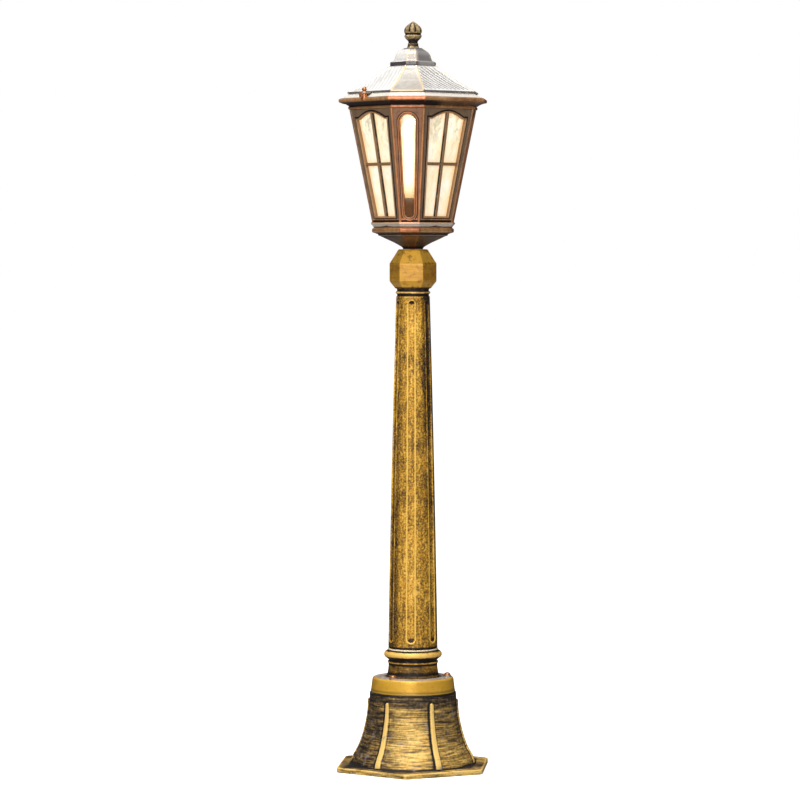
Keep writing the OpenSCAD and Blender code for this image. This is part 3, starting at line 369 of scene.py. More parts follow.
M = {
    "bell": antique_gold("gold_brushed_bell", stroke=(42, 42, 560), mottle=210.0, bias=-0.07, stroke_amt=0.72, mottle_amt=0.30, deep=(0.012, 0.010, 0.009),
                         low=(0.055, 0.036, 0.020), mid=(0.24, 0.150, 0.052), high=(0.64, 0.40, 0.095), hot=(0.96, 0.64, 0.20), stain=(0.30, 0.26, 0.25), stain_amt=0.65),
    "column": antique_gold("gold_mottled_column", stroke=(300, 300, 60), mottle=340.0, bias=0.09, stroke_amt=0.34, mottle_amt=0.62, high=(0.70, 0.36, 0.036), hot=(0.97, 0.62, 0.13)),
    "collar": antique_gold("gold_brushed_collar", stroke=(60, 60, 420), mottle=170.0, bias=-0.08, stroke_amt=0.36, mottle_amt=0.42, hot=(0.95, 0.60, 0.15)),
    "band": satin_gold("gold_satin_band"),
    "capital": satin_gold("gold_satin_capital", base=(0.50, 0.245, 0.022), pale=(0.86, 0.47, 0.058), deep=(0.30, 0.110, 0.012), blotch=0.75),
    "bronze": bronze("bronze_copper_edges", base=(0.060, 0.034, 0.018), mid=(0.135, 0.070, 0.032), edge=(0.37, 0.165, 0.060), hot=(0.66, 0.37, 0.15), pale=(0.76, 0.71, 0.63)),
    "rail": bronze("bronze_rail", bias=0.02, pale=(0.74, 0.67, 0.57)),
    "bowl": bronze("bronze_bowl", base=(0.075, 0.046, 0.024), mid=(0.15, 0.088, 0.042), edge=(0.37, 0.175, 0.066), hot=(0.66, 0.37, 0.15), bias=0.03, narrow_tint_and_shade=(0.78, 0.42, 0.27)),
    "frames": bronze("bronze_frames", deep=(0.016, 0.010, 0.008), base=(0.21, 0.140, 0.085), mid=(0.27, 0.170, 0.095), edge=(0.36, 0.185, 0.080), hot=(0.58, 0.33, 0.15), bias=0.06),
    "roof": roof_metal("roof_bronze_painted_reflection"),
    "finial": antique_gold("gold_olive_finial", stroke=(120, 120, 200), mottle=230.0, bias=-0.06, stroke_amt=0.3, mottle_amt=0.4,
                           low=(0.050, 0.036, 0.020), mid=(0.20, 0.135, 0.060), high=(0.48, 0.35, 0.17), hot=(0.84, 0.72, 0.48)),
    "copper": plain_metal("copper_satin", (0.42, 0.140, 0.050), (0.66, 0.26, 0.090), 0.34, 0.6),
    "steel": plain_metal("steel_zinc", (0.62, 0.62, 0.60), (0.76, 0.76, 0.75), 0.30, 0.9),
    "brass": plain_metal("brass_bare", (0.66, 0.46, 0.17), (0.80, 0.62, 0.30), 0.28, 0.9),
    "glass_wide": pane_glass("glass_seeded_wide", 0.20, 0.66, cream=(1.0, 0.83, 0.56), white=(1.0, 0.955, 0.85), shade=(0.50, 0.50, 0.36), rim_glow_col=(1.0, 0.60, 0.24)),
    "glass_narrow": pane_glass("glass_seeded_narrow", 0.42, 0.62, cream=(1.0, 0.84, 0.52), white=(1.0, 0.95, 0.80), shade=(0.95, 0.80, 0.55),
                               rim_glow_col=(0.80, 0.36, 0.10), foot_z=(0.905, 0.945)),
    "bulb": lit_bulb("bulb_frosted_lit"),
    "bakelite": moulded("bakelite_brown", (0.10, 0.045, 0.022), (0.16, 0.075, 0.036), 0.30),
    "porcelain": moulded("porcelain_white", (0.84, 0.82, 0.77), (0.90, 0.88, 0.84), 0.16),
    "rubber": moulded("rubber_black", (0.018, 0.018, 0.019), (0.035, 0.034, 0.034), 0.62, 400.0, 0.0002),
    "nylon": moulded("nylon_natural", (0.80, 0.77, 0.68), (0.87, 0.85, 0.78), 0.42),
}


# ================================================================ mesh helpers
def object_from(name, parts, materials, body, replaces=(), sharp=48.0):
    """One object from parts: each (V, faces, attributes, material index)."""
    V, F, idx, base = [], [], [], 0
    attrs = {"wear": [], "dark": [], "cover": []}
    for p in parts:
        v, f, a = p[0], p[1], p[2] if len(p) > 2 and p[2] else {}
        k = p[3] if len(p) > 3 else 0
        v = np.asarray(v, float).reshape(-1, 3)
        V.append(v)
        F.extend([tuple(int(i) + base for i in q) for q in f])
        idx.extend([k] * len(f))
        for n in attrs:
            attrs[n].append(np.broadcast_to(np.asarray(a.get(n, 0.0), float), (len(v),)))
        base += len(v)
    V = np.concatenate(V) * MM
    me = bpy.data.meshes.new(name)
    me.from_pydata(V.tolist(), [], F)
    for n, x in attrs.items():
        layer = me.attributes.new(n, "FLOAT", "POINT")
        layer.data.foreach_set("value", np.clip(np.concatenate(x), 0, 1.5).astype(np.float32))
    for m in materials:
        me.materials.append(m)
    me.polygons.foreach_set("material_index", np.array(idx, np.int32))
    me.polygons.foreach_set("use_smooth", np.ones(len(F), bool))
    me.update()
    me.validate()
    me.set_sharp_from_angle(angle=sharp * RAD)
    ob = bpy.data.objects.new(name, me)
    bpy.context.scene.collection.objects.link(ob)
    if replaces:
        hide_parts(*replaces)
    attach(ob, body)
    return ob


def grid_faces(n, m, wrap_n=False, wrap_m=True, flip=False):
    F = []
    for i in range(n if wrap_n else n - 1):
        a = i * m
        b = ((i + 1) % n) * m
        for j in range(m if wrap_m else m - 1):
            k = (j + 1) % m
            q = (a + j, a + k, b + k, b + j)
            F.append(q[::-1] if flip else q)
    return F


def smooth_curve(P, m):
    """Catmull-Rom curve through the rows of P."""
    P = np.asarray(P, float)
    out = []
    for i in range(len(P) - 1):
        p0, p1, p2, p3 = P[max(i - 1, 0)], P[i], P[i + 1], P[min(i + 2, len(P) - 1)]
        for k in range(m):
            t = k / m
            out.append(0.5 * (2 * p1 + (p2 - p0) * t + (2 * p0 - 5 * p1 + 4 * p2 - p3) * t * t + (3 * p1 - p0 - 3 * p2 + p3) * t ** 3))
    out.append(P[-1])
    return np.array(out)


def soften(P, cut=0.7, step=4.0, closed=True, k=3):
    """Path with its corners rounded and its long runs split."""
    P = [np.asarray(p, float) for p in P]
    n = len(P)
    out = []
    for i in range(n):
        a, p, b = P[i - 1] if (closed or i) else None, P[i], P[(i + 1) % n] if (closed or i < n - 1) else None
        if a is None or b is None:
            out.append(p)
            continue
        la, lb = np.linalg.norm(a - p), np.linalg.norm(b - p)
        ang = np.dot((p - a) / max(la, 1e-9), (b - p) / max(lb, 1e-9))
        if ang > 0.985:
            out.append(p)
            continue
        A, B = p + (a - p) * min(cut / max(la, 1e-9), 0.42), p + (b - p) * min(cut / max(lb, 1e-9), 0.42)
        for j in range(k + 1):
            t = j / k
            out.append((1 - t) ** 2 * A + 2 * t * (1 - t) * p + t * t * B)
    res = []
    m = len(out)
    for i in range(m if closed else m - 1):
        a, b = out[i], out[(i + 1) % m]
        c = max(1, int(np.ceil(np.linalg.norm(b - a) / step)))
        for j in range(c):
            res.append(a + (b - a) * j / c)
    if not closed:
        res.append(out[-1])
    return np.array(res)


def edge_signal(P, closed=True, sigma=1.5, full=0.9, cols=(0, 1)):
    """How convex and how hollow a path (z, r, ...) is near each of its points, both 0 to 1. The path runs up its outside."""
    z, r = P[:, cols[0]], P[:, cols[1]]
    n = len(P)
    dz, dr = np.roll(z, -1) - z, np.roll(r, -1) - r
    L = np.hypot(dz, dr)
    L[L < 1e-6] = 1e-6
    ang = np.arctan2(dz, dr)
    turn = (ang - np.roll(ang, 1) + np.pi) % (2 * np.pi) - np.pi
    if not closed:
        turn[0] = turn[-1] = 0
    s = np.concatenate([[0], np.cumsum(L)])[:n]
    total = L.sum()
    d = np.abs(s[:, None] - s[None, :])
    if closed:
        d = np.minimum(d, total - d)
    G = np.exp(-0.5 * (d / sigma) ** 2)
    wear = (G * np.maximum(turn, 0)[None, :]).sum(1) / full
    dark = (G * np.maximum(-turn, 0)[None, :]).sum(1) / full
    return np.clip(wear, 0, 1), np.clip(dark, 0, 1)


def section_polygon(corners, rc, inner=4, edge=1.3, spans=None):
    """Indices and weights that turn a ring of corners into a ring of points with rounded corners."""
    n = len(corners)
    C = np.asarray(corners, float)
    pts, wear = [], []
    for i in range(n):
        p, a, b = C[i], C[i - 1], C[(i + 1) % n]
        la, lb = np.linalg.norm(a - p), np.linalg.norm(b - p)
        ca, cb = min(rc, 0.3 * la), min(rc, 0.3 * lb)
        ua, ub = (a - p) / la, (b - p) / lb
        ea, eb = min(ca + edge, 0.4 * la), min(cb + edge, 0.4 * lb)
        pts.append(p + ua * ea)
        wear.append(0.0)
        A, B = p + ua * ca, p + ub * cb
        for j in range(5):
            t = j / 4
            pts.append((1 - t) ** 2 * A + 2 * t * (1 - t) * p + t * t * B)
            wear.append(1.0 if 0 < j < 4 else 0.8)
        pts.append(p + ub * eb)
        wear.append(0.0)
        nb = C[(i + 1) % n]
        eb2 = min(min(rc, 0.3 * lb) + edge, 0.4 * lb)
        P0, P1 = p + ub * eb, nb - ub * eb2
        k = inner[i % len(inner)] if isinstance(inner, (list, tuple)) else inner
        for j in range(1, k):
            pts.append(P0 + (P1 - P0) * j / k)
            wear.append(0.0)
    return np.array(pts), np.array(wear)


def oct_corners(d, w):
    return [(-w, -d), (w, -d), (d, -w), (d, w), (w, d), (-w, d), (-d, w), (-d, -w)]


def oct_loft(levels, rc=1.2, cut=0.7, step=4.0, edge=1.3, side=(3, 8), sigma=1.5, wear_gain=1.0, dark_gain=1.0, corner_gain=1.0, closed=True):
    """Octagonal casting from a closed path of [z, half distance, half narrow width]."""
    P = soften([np.array(l, float) for l in levels], cut, step, closed)
    pw, pd = edge_signal(P, closed, sigma)
    V, W, D = [], [], []
    for i, (z, d, w) in enumerate(P):
        ring, cw = section_polygon(oct_corners(d, w), rc, inner=[side[0], side[1]], edge=edge)
        V.append(np.column_stack([ring, np.full(len(ring), z)]))
        W.append(np.maximum(pw[i] * wear_gain, cw * corner_gain * (1 - pd[i])))
        D.append(np.full(len(ring), pd[i] * dark_gain))
    m = len(V[0])
    return np.concatenate(V), grid_faces(len(P), m, closed, True), {"wear": np.concatenate(W), "dark": np.concatenate(D)}, (len(P), m)


def revolve(path, n=144, sigma=1.5, cut=0.6, step=3.0, closed=True, wear_gain=1.0, dark_gain=1.0, shape=None, full=0.9):
    """Turned casting from a closed path of [z, r]. shape(z, r, angle) may change the radius."""
    P = soften([np.array(p, float) for p in path], cut, step, closed)
    pw, pd = edge_signal(P, closed, sigma, full)
    a = np.arange(n) * 2 * np.pi / n
    Z, R = P[:, 0][:, None] + 0 * a[None, :], P[:, 1][:, None] + 0 * a[None, :]
    if shape is not None:
        R = shape(Z, R, a[None, :] + 0 * Z)
    V = np.stack([R * np.sin(a), -R * np.cos(a), Z], -1).reshape(-1, 3)
    W, D = np.repeat(pw, n) * wear_gain, np.repeat(pd, n) * dark_gain
    return V, grid_faces(len(P), n, closed, True), {"wear": W, "dark": D}, (len(P), n)


def capped(path, n=96, **kw):
    """Turned solid whose open path starts and ends on the axis."""
    P = soften([np.array(p, float) for p in path[1:-1]], kw.get("cut", 0.5), kw.get("step", 2.0), False)
    pw, pd = edge_signal(P, False, kw.get("sigma", 1.2))
    a = np.arange(n) * 2 * np.pi / n
    R = P[:, 1][:, None] + 0 * a
    Z = P[:, 0][:, None] + 0 * a
    if kw.get("shape"):
        R = kw["shape"](Z, R, a[None, :] + 0 * Z)
    V = np.stack([R * np.sin(a), -R * np.cos(a), Z], -1).reshape(-1, 3)
    F = grid_faces(len(P), n, False, True)
    k = len(V)
    V = np.concatenate([V, [[0, 0, path[0][0]], [0, 0, path[-1][0]]]])
    last = (len(P) - 1) * n
    F += [(k, (j + 1) % n, j) for j in range(n)]
    F += [(k + 1, last + j, last + (j + 1) % n) for j in range(n)]
    W = np.concatenate([np.repeat(pw, n), [0, 0]]) * kw.get("wear_gain", 1.0)
    D = np.concatenate([np.repeat(pd, n), [0, 0]]) * kw.get("dark_gain", 1.0)
    return V, F, {"wear": W, "dark": D}


def turned(V, deg):
    c, s = math.cos(deg * RAD), math.sin(deg * RAD)
    V = np.asarray(V, float)
    return np.column_stack([V[:, 0] * c - V[:, 1] * s, V[:, 0] * s + V[:, 1] * c, V[:, 2]])


def placed(V, deg, d, z=0.0):
    """Moves local points to a place at angle deg from the front and distance d from the axis, then up by z."""
    V = np.asarray(V, float) + np.array([0, -d, z])
    return turned(V, deg)


def tube(path, r, n=12, wear=0.8, caps=True):
    """Round bar along a path of points."""
    P = np.asarray(path, float)
    T = np.gradient(P, axis=0)
    T /= np.linalg.norm(T, axis=1)[:, None]
    up = np.array([0.0, 0.0, 1.0]) if abs(T[0][2]) < 0.9 else np.array([1.0, 0.0, 0.0])
    S = np.cross(T, up)
    S /= np.linalg.norm(S, axis=1)[:, None]
    U = np.cross(T, S)
    rr = np.broadcast_to(np.asarray(r, float), (len(P),))
    a = np.arange(n) * 2 * np.pi / n
    V = (P[:, None, :] + rr[:, None, None] * (np.cos(a)[None, :, None] * S[:, None, :] + np.sin(a)[None, :, None] * U[:, None, :])).reshape(-1, 3)
    F = grid_faces(len(P), n, False, True, flip=True)
    if caps:
        F.append(tuple(range(n)))
        F.append(tuple(reversed(range((len(P) - 1) * n, len(P) * n))))
    return V, F, {"wear": wear}


def block(lo, hi, bevel=0.5, wear=1.0):
    """Box with rounded edges: each face is a grid whose rim is drawn in."""
    lo, hi = np.asarray(lo, float), np.asarray(hi, float)
    b = min(bevel, 0.45 * (hi - lo).min())
    xs = [np.array([lo[i], lo[i] + 0.29 * b, lo[i] + b, hi[i] - b, hi[i] - 0.29 * b, hi[i]]) for i in range(3)]
    V, F, W, key = [], [], [], {}

    def vid(i, j, k):
        if (i, j, k) not in key:
            p = np.array([xs[0][i], xs[1][j], xs[2][k]])
            c = np.clip(p, lo + b, hi - b)
            v = p - c
            L = np.linalg.norm(v)
            out = [n in (0, 5) or n in (1, 4) for n in (i, j, k)]
            if L > 1e-9:
                p = c + v / L * b
            key[(i, j, k)] = len(V)
            V.append(p)
            W.append(wear if sum(out) >= 2 else 0.0)
        return key[(i, j, k)]

    for ax in range(3):
        o1, o2 = [(1, 2), (2, 0), (0, 1)][ax]
        for side, val in ((0, 0), (1, 5)):
            for u in range(5):
                for v in range(5):
                    q = []
                    for (du, dv) in ((0, 0), (1, 0), (1, 1), (0, 1)):
                        c = [0, 0, 0]
                        c[ax], c[o1], c[o2] = val, u + du, v + dv
                        q.append(vid(*c))
                    F.append(tuple(q) if side else tuple(q[::-1]))
    return np.array(V), F, {"wear": np.array(W)}


def cylinder(p, axis, r, h, n=40, bevel=0.4, hole=0.0, wear=0.9):
    """Short turned piece with rounded rims, from p along axis (0 x, 1 y, 2 z)."""
    if hole > 0:
        path = [(0, hole), (0, r), (h, r), (h, hole)]
        V, F, A, _ = revolve(path, n, cut=bevel, step=50)
    else:
        path = [(0, 0), (0, 0.5 * r), (0, r), (h, r), (h, 0.5 * r), (h, 0)]
        V, F, A = capped(path, n, cut=bevel, step=50)
    if axis == 0:
        V = V[:, [2, 0, 1]]
    elif axis == 1:
        V = V[:, [1, 2, 0]]
    A = {"wear": np.asarray(A["wear"]) * wear}
    return V + np.asarray(p, float), F, A


# ================================================================ plinth
bell_pts = [[8, 97.6], [14, 96.6], [22, 93.4], [36, 85.8], [54, 79.2], [73, 74.4], [92, 71.2], [117, 69.8], [124, 69.2]]
bell = smooth_curve(bell_pts, 10)


def smoothstep(x, a, b):
    t = np.clip((x - a) / (b - a), 0, 1)
    return t * t * (3 - 2 * t)


def make_plinth():
    R_HEX = 135.0
    outer = [(0.0, "hex", R_HEX - 0.9), (0.25, "hex", R_HEX - 0.25), (0.9, "hex", R_HEX), (2.6, "hex", R_HEX), (5.0, "hex", R_HEX), (6.8, "hex", R_HEX - 0.15),
             (7.6, "hex", R_HEX - 0.7), (7.95, "hex", R_HEX - 1.6), (8.05, "hex", R_HEX - 3.2), (8.1, "hex", R_HEX - 6.5), (8.15, "hex", R_HEX - 11), (8.2, "hex", R_HEX - 18)]
    rows = [(0.0, "c", 93.4), (0.0, "hex", 112.0), (0.0, "hex", 124.0)] + outer
    rows += [(8.25, "c", 102.2), (8.35, "c", 100.3), (8.7, "c", 99.0), (9.4, "c", 98.2)]
    zs = [z for z in np.concatenate([np.linspace(10.2, 100, 54), np.linspace(101, 114.5, 20), np.linspace(115.5, 122.4, 8)])]
    for z in zs:
        rows.append((z, "bell", float(np.interp(z, bell[:, 0], bell[:, 1]))))
    rows += [(123.2, "bell", 69.15), (123.75, "bell", 68.8), (124.0, "bell", 68.2), (124.0, "c", 62.0), (124.0, "c", 5.35), (118.0, "c", 5.35), (118.0, "c", 62.0)]
    for z in np.linspace(115, 10, 26):
        rows.append((float(z), "in", float(np.interp(z, bell[:, 0], bell[:, 1])) - 4.5))
    # columns over one rib's sector, as multiples of the rib's half width, then up to the sector's rim
    u = np.array([-3.0, -2.3, -1.8, -1.5, -1.3, -1.15, -1.06, -0.98, -0.9, -0.8, -0.6, -0.3])
    u = np.concatenate([u, [0.0], -u[::-1]])
    rest = np.array([0.0, 0.06, 0.14, 0.24, 0.35, 0.46, 0.57, 0.68, 0.78, 0.87, 0.93, 0.965, 0.985])
    V, W, D, C = [], [], [], []
    for (z, kind, r) in rows:
        zc = float(np.clip(z, 8, 109))
        hw = 5.4 + (3.3 - 5.4) * zc / 109.0
        rr = float(np.interp(np.clip(z, 8, 124), bell[:, 0], bell[:, 1]))
        for s in range(6):
            mid = (30 + 60 * s) * RAD
            ua = u * hw / rr
            lim = ua[-1]
            right = lim + (30 * RAD - lim) * rest[1:]
            left = -lim - (30 * RAD - lim) * rest[1:][::-1]
            off = np.concatenate([[-30 * RAD], left, ua, right])
            th = mid + off
            x = off * rr
            if kind == "hex":
                phi = np.abs(off)
                ap = r * math.cos(30 * RAD)
                rad = ap / np.cos(phi)
                near = np.clip((phi / RAD - 28.2) / 1.8, 0, 1)
                rad = rad - near ** 2 * 1.3
                w = np.where(z > 6.5, 0.75, 0.35) * (1 if z < 8.02 else 0.0) + (0.6 * near if z < 8.02 else 0)
                # the flange's upper side keeps its dark paint but for its rim, and is darker towards the left: painted
                # shade
                side = smoothstep(-np.sin(th), -0.5, 0.7)
                d = (0.06 + 0.12 * side) * (0.8 if z > 8.06 else 0.0) + 0.02 * side * (0.5 < z < 7.5)
                cov = np.full_like(off, 0.1)
            elif kind == "bell":
                dist = np.where(z < 109, np.abs(x) - hw, np.hypot(x, z - 109) - 3.3)
                h = 2.6 * (1 - smoothstep(dist, -1.1, 0.35)) + 0.25 * np.clip(1 - (x / hw) ** 2, 0, 1) * (dist < 0)
                rad = rr + h
                if z > 122.9:
                    rad = np.full_like(off, r)
                # the ribs at the left and right sides take less gold: painted shade
                w = smoothstep(-dist, -0.15, 0.8) * (1.15 - 0.6 * (np.abs(np.sin(th)) > 0.9))
                # dark beside each rib, wider and stronger on its left: dark paint in the crease, and painted shade on
                # the left
                left_side = off < 0
                d = np.where(left_side, np.exp(-((np.clip(dist, -0.3, 99) - 1.2) / 1.8) ** 2) * 1.35, np.exp(-((np.clip(dist, -0.2, 99) - 0.7) / 0.6) ** 2) * 0.45)
                d = d * (dist > 0.05)
                d = d * (1 - smoothstep(z, 114, 118))
                # darker towards the top, and darkest just under the band: a painted shadow below the seam
                d = np.maximum(d, 0.30 * smoothstep(z, 98, 112))
                d = np.maximum(d, 0.75 * smoothstep(z, 118.5, 123) * (1 - 0.5 * np.clip(w, 0, 1)))
                d = np.maximum(d, 0.8 * (1 - smoothstep(z, 8, 12)) * (w < 0.5))
                q = 1 - np.abs(off) / (30 * RAD)   # 1 at the rib, 0 at the middle of a panel
                cov = 0.75 * smoothstep(1 - q, 0.05, 0.75) * (1 - smoothstep(z, 70, 104)) + 0.12
                # painted shade: the panels away from the front one are darker and take less gold, those on the left
                # more than those on the right
                front = np.exp(-((np.degrees(np.arctan2(np.sin(th), np.cos(th))) - 0) / 34.0) ** 4)
                d = np.maximum(d, (0.22 - 0.17 * (np.sin(th) > 0)) * (1 - front) * (w < 0.5))
                cov = cov * (0.35 + 0.65 * front)
            else:
                rad = np.full_like(off, r)
                w = np.zeros_like(off)
                d = np.full_like(off, 0.75 if z > 8 and kind == "c" else 0.2)
                cov = np.zeros_like(off)
            V.append(np.column_stack([rad * np.sin(th), -rad * np.cos(th), np.full_like(th, z)]))
            W.append(w + 0 * off)
            D.append(d + 0 * off)
            C.append(cov + 0 * off)
    m = sum(len(v) for v in V[:6])
    F = grid_faces(len(rows), m, True, True)
    A = {"wear": np.concatenate(W), "dark": np.concatenate(D), "cover": np.concatenate(C)}
    parts = [(np.concatenate(V), F, A)]
    # lugs for the ground anchors and bosses for the cap bolts, inside
    for a in (30, 150, 270):
        v, f, at_ = cylinder((0, 0, 0), 2, 12, 8, 40, 0.5, hole=5.5)
        parts.append((placed(v, a, 78, 0.05), f, at_))
        v, f, at_ = block((-11.5, -20.5, 0), (11.5, -6.5, 7.8), 0.6)
        parts.append((placed(v, a, 78, 0.05), f, at_))
    for a in (-30, 90, 210):
        v, f, at_ = cylinder((0, 0, 0), 2, 6.5, 18.5, 32, 0.5, hole=2.5)
        parts.append((placed(v, a, 55.5, 99.9), f, at_))
    object_from("plinth_casting", parts, [M["bell"]], "post", ["base_plinth"], sharp=60)


make_plinth()

# ================================================================ band, collar, neck
v, f, a, _ = revolve([(124.02, 5.35), (124.02, 66.8), (124.9, 68.0), (127.0, 68.0), (127.5, 67.55), (128.3, 67.45), (137, 66.4), (145.2, 65.3), (146.6, 64.6), (147.6, 63.2), (148.1, 60.4),
                      (148.3, 56.0), (148.4, 52.0), (148.45, 47.0), (148.46, 44.5), (148.47, 42.0), (148.5, 38.0), (148.5, 5.35)], 180, sigma=1.0, cut=0.5, step=4.0, dark_gain=0.9)
z = v[:, 2]
a["dark"] = np.maximum(a["dark"], np.exp(-((z - 127.6) / 0.5) ** 2) * 0.45 * (np.hypot(v[:, 0], v[:, 1]) > 60))
rr = np.hypot(v[:, 0], v[:, 1])
on_top = (z > 147.4) & (rr > 30)
a["dark"] = np.where(on_top, 0.9 * np.exp(-((rr - 42.5) / 3.2) ** 2), a["dark"])
a["cover"] = np.where(on_top & (z > 147.9), 0.9, 0.0)
object_from("base_band", [(v, f, a)], [M["band"]], "post", ["base_cap"])


def make_foot():
    c = Z_CAP + 36
    path = [(Z_CAP + 0.02, 29), (Z_CAP + 0.02, 41.0), (Z_CAP + 0.8, 42.1), (Z_CAP + 3.4, 42.0), (Z_CAP + 4.4, 41.1)]
    path += [tuple(p) for p in smooth_curve([(Z_CAP + 4.6, 41.0), (Z_CAP + 8, 40.5), (Z_CAP + 13, 39.7), (Z_CAP + 18, 39.35), (Z_CAP + 21.2, 39.3)], 4)]
    path += [(Z_CAP + 22.0, 40.3), (Z_CAP + 23.2, 40.8), (Z_CAP + 24.8, 40.5), (Z_CAP + 25.6, 38.9), (Z_CAP + 27.4, 38.9), (Z_CAP + 28.4, 40.6)]
    path += [(c + 6 * math.sin(t * RAD), 40.6 + 6 * math.cos(t * RAD)) for t in range(-72, 78, 8)]
    path += [(c + 6.2, 39.2), (c + 7.0, 39.2), (c + 7.3, 40.7), (c + 8.3, 41.0), (c + 9.2, 40.6), (c + 9.6, 38.2), (Z_FOOT - 0.6, 38.2), (Z_FOOT, 38.0), (Z_FOOT, 30)]
    v, f, a, dims = revolve(path, 168, sigma=1.1, cut=0.35, step=1.8, dark_gain=1.1)
    z = v[:, 2]
    outside = np.hypot(v[:, 0], v[:, 1]) > 37
    tor = np.exp(-((z - (c + 0.6)) / 4.2) ** 4)
    a["wear"] = np.where(outside, np.maximum(np.clip(a["wear"] - 0.25, 0, 1) * 0.9, tor * 0.95), 0)
    for zc, w, g in ((c + 6.8, 1.0, 1.2), (c + 10.4, 1.3, 1.2), (c - 7.6, 1.4, 1.2), (Z_CAP + 21.2, 1.0, 0.8), (Z_CAP + 4.8, 1.0, 0.8)):
        a["dark"] = np.maximum(a["dark"], g * np.exp(-((z - zc) / w) ** 2) * outside)
    # the ring over the torus is made pale: a painted highlight
    a["wear"] = np.maximum(a["wear"], outside * 0.9 * np.exp(-((z - (c + 8.4)) / 0.9) ** 2))
    a["wear"] = np.maximum(a["wear"], outside * 0.5 * np.exp(-((z - (Z_CAP + 2.2)) / 1.6) ** 2))
    for zc, w, g in ((c + 6.7, 0.9, 1.0), (c + 10.7, 1.3, 1.7), (c - 7.4, 1.6, 1.6)):
        a["dark"] = np.maximum(a["dark"], g * np.exp(-((z - zc) / w) ** 2) * outside)
    a["dark"] = np.maximum(a["dark"], 0.75 * np.exp(-((z - (c - 4.6)) / 1.7) ** 2) * outside)
    a["dark"] = np.maximum(a["dark"], 0.55 * np.exp(-((z - (Z_CAP + 4.5)) / 4.5) ** 2) * outside)
    # above 1 on the ring over the torus the gold turns pale cream: a painted highlight
    a["cover"] = 0.1 + 1.3 * np.exp(-((z - (c + 8.4)) / 1.5) ** 4) * outside
    a["dark"] = np.where(a["cover"] > 0.7, 0.0, a["dark"])
    object_from("column_collar", [(v, f, a)], [M["collar"]], "post", ["column_foot"])


make_foot()


def make_shaft():
    zs = np.concatenate([np.linspace(196.0, 203, 6), np.linspace(203.8, 216, 22), np.linspace(219, 738, 110), np.linspace(740, 756, 26), np.linspace(757, 760.5, 3)])
    u = np.array([-2.2, -1.8, -1.5, -1.32, -1.2, -1.1, -1.02, -0.94, -0.86, -0.74, -0.56, -0.36, -0.18])
    u = np.concatenate([u, [0.0], -u[::-1]])
    rest = np.array([0.2, 0.4, 0.6, 0.8])
    rows = [("in", 196.0)] + [("out", z) for z in zs] + [("in", z) for z in np.linspace(760.5, 230, 8)]
    V, W, D, C = [], [], [], []

    def r_at(z):
        t = (z - 196.0) / 564.5
        return 39.6 - 12.7 * t + 4 * t * (1 - t)

    for kind, z in rows:
        t = (z - 196.0) / 564.5
        R = r_at(z)
        hw = 6.7 + (5.3 - 6.7) * t
        zb, zt = 205.0 + 6.7, 754.0 - 5.3
        for s in range(6):
            ua = u * hw / R
            lim = ua[-1]
            half = 30 * RAD
            off = np.concatenate([[-half], -lim - (half - lim) * rest[::-1], ua, lim + (half - lim) * rest])
            x = off * R
            if kind == "in":
                rad = np.full_like(off, min(R, r_at(z)) - 4.5)
                w = np.zeros_like(off)
                d = np.full_like(off, 0.3)
            else:
                if z < zb:
                    dist = np.hypot(x, z - zb) - hw
                elif z > zt:
                    dist = np.hypot(x, z - zt) - hw
                else:
                    dist = np.abs(x) - hw
                inside = np.clip(-dist / hw, 0, 1)
                deep = 2.3 * (1 - (1 - inside) ** 2) ** 0.75
                lip = 0.55 * np.exp(-((dist - 0.5) / 1.15) ** 2)
                rad = R - deep + lip
                w = 0.95 * np.exp(-((dist - 0.35) / 1.15) ** 2)
                d = 0.06 * smoothstep(inside, 0.12, 0.5)
                d = np.maximum(d, 0.12 * np.exp(-((dist - 2.3) / 0.9) ** 2))
                d = np.maximum(d, 0.16 * np.exp(-((dist + 1.1) / 0.7) ** 2))
                # the lands between the flutes are darker towards the bottom; the flutes' ends are dark: a painted
                # shadow in the top end of each flute, fainter in the bottom end
                d = np.maximum(d, (0.13 - 0.06 * t) * smoothstep(dist, 1.2, 4.0))
                flute_end_shadow = 0.45 * np.exp(-((z - (zb - 2.0)) / 3.6) ** 2) * (inside > 0.02) + np.exp(-((z - (zt + 2.6)) / 2.3) ** 2) * (inside > 0.02)
                d = np.maximum(d, 1.1 * flute_end_shadow * smoothstep(inside, 0.02, 0.25))
                w = w * (0.35 + 0.65 * smoothstep(zt + 1.0 - z, 0.0, 26.0))
                w = np.maximum(w, 0.5 * np.exp(-((z - 759.6) / 1.2) ** 2))
                d = np.maximum(d, 0.9 * np.exp(-((z - 196.2) / 1.6) ** 2))
            cov = 0.12 + 0.10 * t
            th = (60 * s) * RAD + off
            if kind == "out":
                # painted shade on the flanks: darkest high on the right and low on the left
                deg = np.degrees(np.arctan2(np.sin(th), np.cos(th)))
                right, left = smoothstep(deg, 22, 54), smoothstep(-deg, 16, 50)
                d = np.maximum(d, right * (0.12 + 0.38 * smoothstep(t, 0.2, 0.8)) + left * (0.38 - 0.15 * smoothstep(t, 0.2, 0.8)))
            V.append(np.column_stack([rad * np.sin(th), -rad * np.cos(th), np.full_like(th, z)]))
            W.append(w + 0 * off)
            D.append(d + 0 * off)
            C.append(np.full_like(off, cov))
    m = sum(len(v) for v in V[:6])
    F = grid_faces(len(rows), m, True, True)
    A = {"wear": np.concatenate(W), "dark": np.concatenate(D), "cover": np.concatenate(C)}
    object_from("fluted_column", [(np.concatenate(V), F, A)], [M["column"]], "post", ["column_shaft"], sharp=60)


make_shaft()

